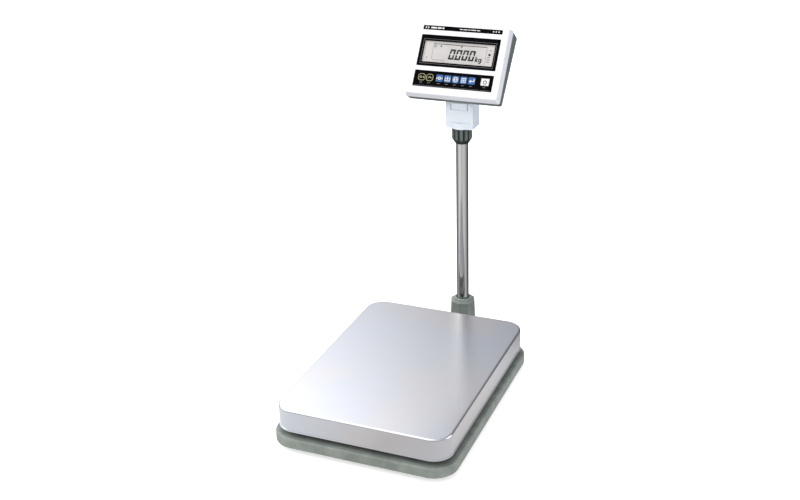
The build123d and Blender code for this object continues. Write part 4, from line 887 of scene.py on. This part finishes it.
def ring_of_light(tree, direction, stops):
    """A tinted level for each compass bearing: 0 is straight behind the scale and 90 is on its left."""
    parts = tree.nodes.new("ShaderNodeSeparateXYZ")
    tree.links.new(direction, parts.inputs[0])
    flip = tree.nodes.new("ShaderNodeMath")
    flip.operation = "MULTIPLY"
    flip.inputs[1].default_value = -1.0
    tree.links.new(parts.outputs["X"], flip.inputs[0])
    bearing = tree.nodes.new("ShaderNodeMath")
    bearing.operation = "ARCTAN2"
    tree.links.new(flip.outputs[0], bearing.inputs[0])
    tree.links.new(parts.outputs["Y"], bearing.inputs[1])
    place = tree.nodes.new("ShaderNodeMapRange")
    place.inputs["From Min"].default_value = -math.pi
    place.inputs["From Max"].default_value = math.pi
    tree.links.new(bearing.outputs[0], place.inputs["Value"])
    ramp = tree.nodes.new("ShaderNodeValToRGB")
    ramp.color_ramp.interpolation = "B_SPLINE"
    marks = ramp.color_ramp.elements
    while len(marks) < len(stops):
        marks.new(1.0)
    peak = max(level * max(tint) for degrees, level, tint in stops)
    for mark, (degrees, level, tint) in zip(marks, stops):
        mark.position = (degrees + 180) / 360
        mark.color = (*(level * part / peak for part in tint), 1)
    tree.links.new(place.outputs["Result"], ramp.inputs["Fac"])
    return ramp.outputs["Color"], peak


def for_camera_only(tree, seen, other, output):
    """Send one shader to the camera's rays and the other to all the rest."""
    ray = tree.nodes.new("ShaderNodeLightPath")
    pick = tree.nodes.new("ShaderNodeMixShader")
    tree.links.new(ray.outputs["Is Camera Ray"], pick.inputs["Fac"])
    tree.links.new(other, pick.inputs[1])
    tree.links.new(seen, pick.inputs[2])
    tree.links.new(pick.outputs["Shader"], tree.nodes[output].inputs["Surface"])


def plain_floor():
    """A pale floor; rays other than the camera's see it bright in front and dark behind."""
    mesh = bmesh.new()
    bmesh.ops.create_grid(mesh, x_segments=8, y_segments=8, size=30.0)
    s = Shader("floor_paper", (0.9, 0.9, 0.9), 0.9)
    s.drive("Base Color", s.mix(s.noise(1.5), (0.88, 0.88, 0.885), (0.9, 0.9, 0.9)))
    s.set("Specular IOR Level", 0.1)
    s.set("Emission Color", (1.0, 1.0, 1.0, 1))
    s.set("Emission Strength", FLOOR_GLOW)
    about_column = s.node("ShaderNodeVectorMath", operation="SUBTRACT")
    about_column.inputs[1].default_value = (TILT_AXIS.x, TILT_AXIS.y, 0)
    s.link(s.place, about_column.inputs[0])
    level, peak = ring_of_light(s.tree, about_column.outputs["Vector"], FLOOR_RING)
    banded = s.node("ShaderNodeEmission")
    s.link(level, banded.inputs["Color"])
    banded.inputs["Strength"].default_value = peak
    for_camera_only(s.tree, s.surface.outputs["BSDF"], banded.outputs["Emission"], "Material Output")
    linked("studio_floor", mesh, s.material)


def studio_world():
    """A pale wall for the camera; other rays see a wide light behind on the left, dim straight behind."""
    world = bpy.data.worlds.new("studio")
    world.use_nodes = True
    tree = world.node_tree
    place = tree.nodes.new("ShaderNodeTexCoord").outputs["Generated"]
    level, peak = ring_of_light(tree, place, WALL_RING)
    parts = tree.nodes.new("ShaderNodeSeparateXYZ")
    tree.links.new(place, parts.inputs[0])
    lift = tree.nodes.new("ShaderNodeMapRange")
    for end, (height, gain) in (("Min", WALL_LOW), ("Max", WALL_HIGH)):
        lift.inputs["From " + end].default_value = height
        lift.inputs["To " + end].default_value = gain * peak
    tree.links.new(parts.outputs["Z"], lift.inputs["Value"])
    banded = tree.nodes["Background"]
    tree.links.new(level, banded.inputs["Color"])
    tree.links.new(lift.outputs["Result"], banded.inputs["Strength"])
    wall = tree.nodes.new("ShaderNodeBackground")
    wall.inputs["Color"].default_value = (1, 1, 1, 1)
    for_camera_only(tree, wall.outputs["Background"], banded.outputs["Background"], "World Output")
    bpy.context.scene.world = world


def softbox(name, place, target, size, power, color, mirrored=True):
    """A rectangular area light; one that isn't mirrored lights the part but never shows in its steel."""
    lamp = bpy.data.lights.new(name, "AREA")
    lamp.shape = "RECTANGLE"
    lamp.size, lamp.size_y = size
    lamp.energy = power
    lamp.color = color
    made = bpy.data.objects.new(name, lamp)
    made.location = place
    made.visible_glossy = mirrored
    made.rotation_euler = (Vector(target) - Vector(place)).to_track_quat("-Z", "Y").to_euler()
    bpy.context.scene.collection.objects.link(made)


# ---- the photograph's view, about the middle of the pan's top ----
AZIMUTH, ELEVATION, ROLL = math.radians(23.03), math.radians(24.31), math.radians(-1.69)
DISTANCE = 2.3876
SIDESTEP, RISE = -0.0049, 0.2324
LENS, SENSOR_WIDTH = 52.29, 36.0


def photo_camera():
    """The photograph's view: above and to the operator's right, with a slight roll."""
    back = Vector((
        math.sin(AZIMUTH) * math.cos(ELEVATION),
        -math.cos(AZIMUTH) * math.cos(ELEVATION),
        math.sin(ELEVATION),
    ))
    side = Vector((math.cos(AZIMUTH), math.sin(AZIMUTH), 0))
    rise = back.cross(side)
    pan_low, pan_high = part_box("platter")
    aim = Vector(((pan_low.x + pan_high.x) / 2, (pan_low.y + pan_high.y) / 2, pan_high.z))
    turned_side = side * math.cos(ROLL) + rise * math.sin(ROLL)
    turned_rise = rise * math.cos(ROLL) - side * math.sin(ROLL)
    lens = bpy.data.cameras.new("photo_camera")
    lens.lens = LENS
    lens.sensor_width = SENSOR_WIDTH
    camera = bpy.data.objects.new("photo_camera", lens)
    turn = Matrix((turned_side, turned_rise, back)).transposed()
    place = aim + back * DISTANCE + side * SIDESTEP + rise * RISE
    camera.matrix_world = Matrix.Translation(place) @ turn.to_4x4()
    bpy.context.scene.collection.objects.link(camera)
    bpy.context.scene.camera = camera


plain_floor()
studio_world()
softbox("key_light", (-2.6, -0.7, 1.9), (0, 0, 0.3), (1.6, 1.6), 26.0, (1.0, 0.99, 0.97))
softbox("fill_light", (1.0, -2.6, 0.5), (0, 0, 0.4), (1.8, 0.8), 22.0, (0.98, 0.985, 1.0), mirrored=False)
softbox("side_light", (2.6, 0.5, 0.6), (0, 0, 0.05), (1.6, 0.8), 20.0, (0.94, 0.95, 1.0))
photo_camera()
bpy.context.scene.view_settings.view_transform = "Standard"
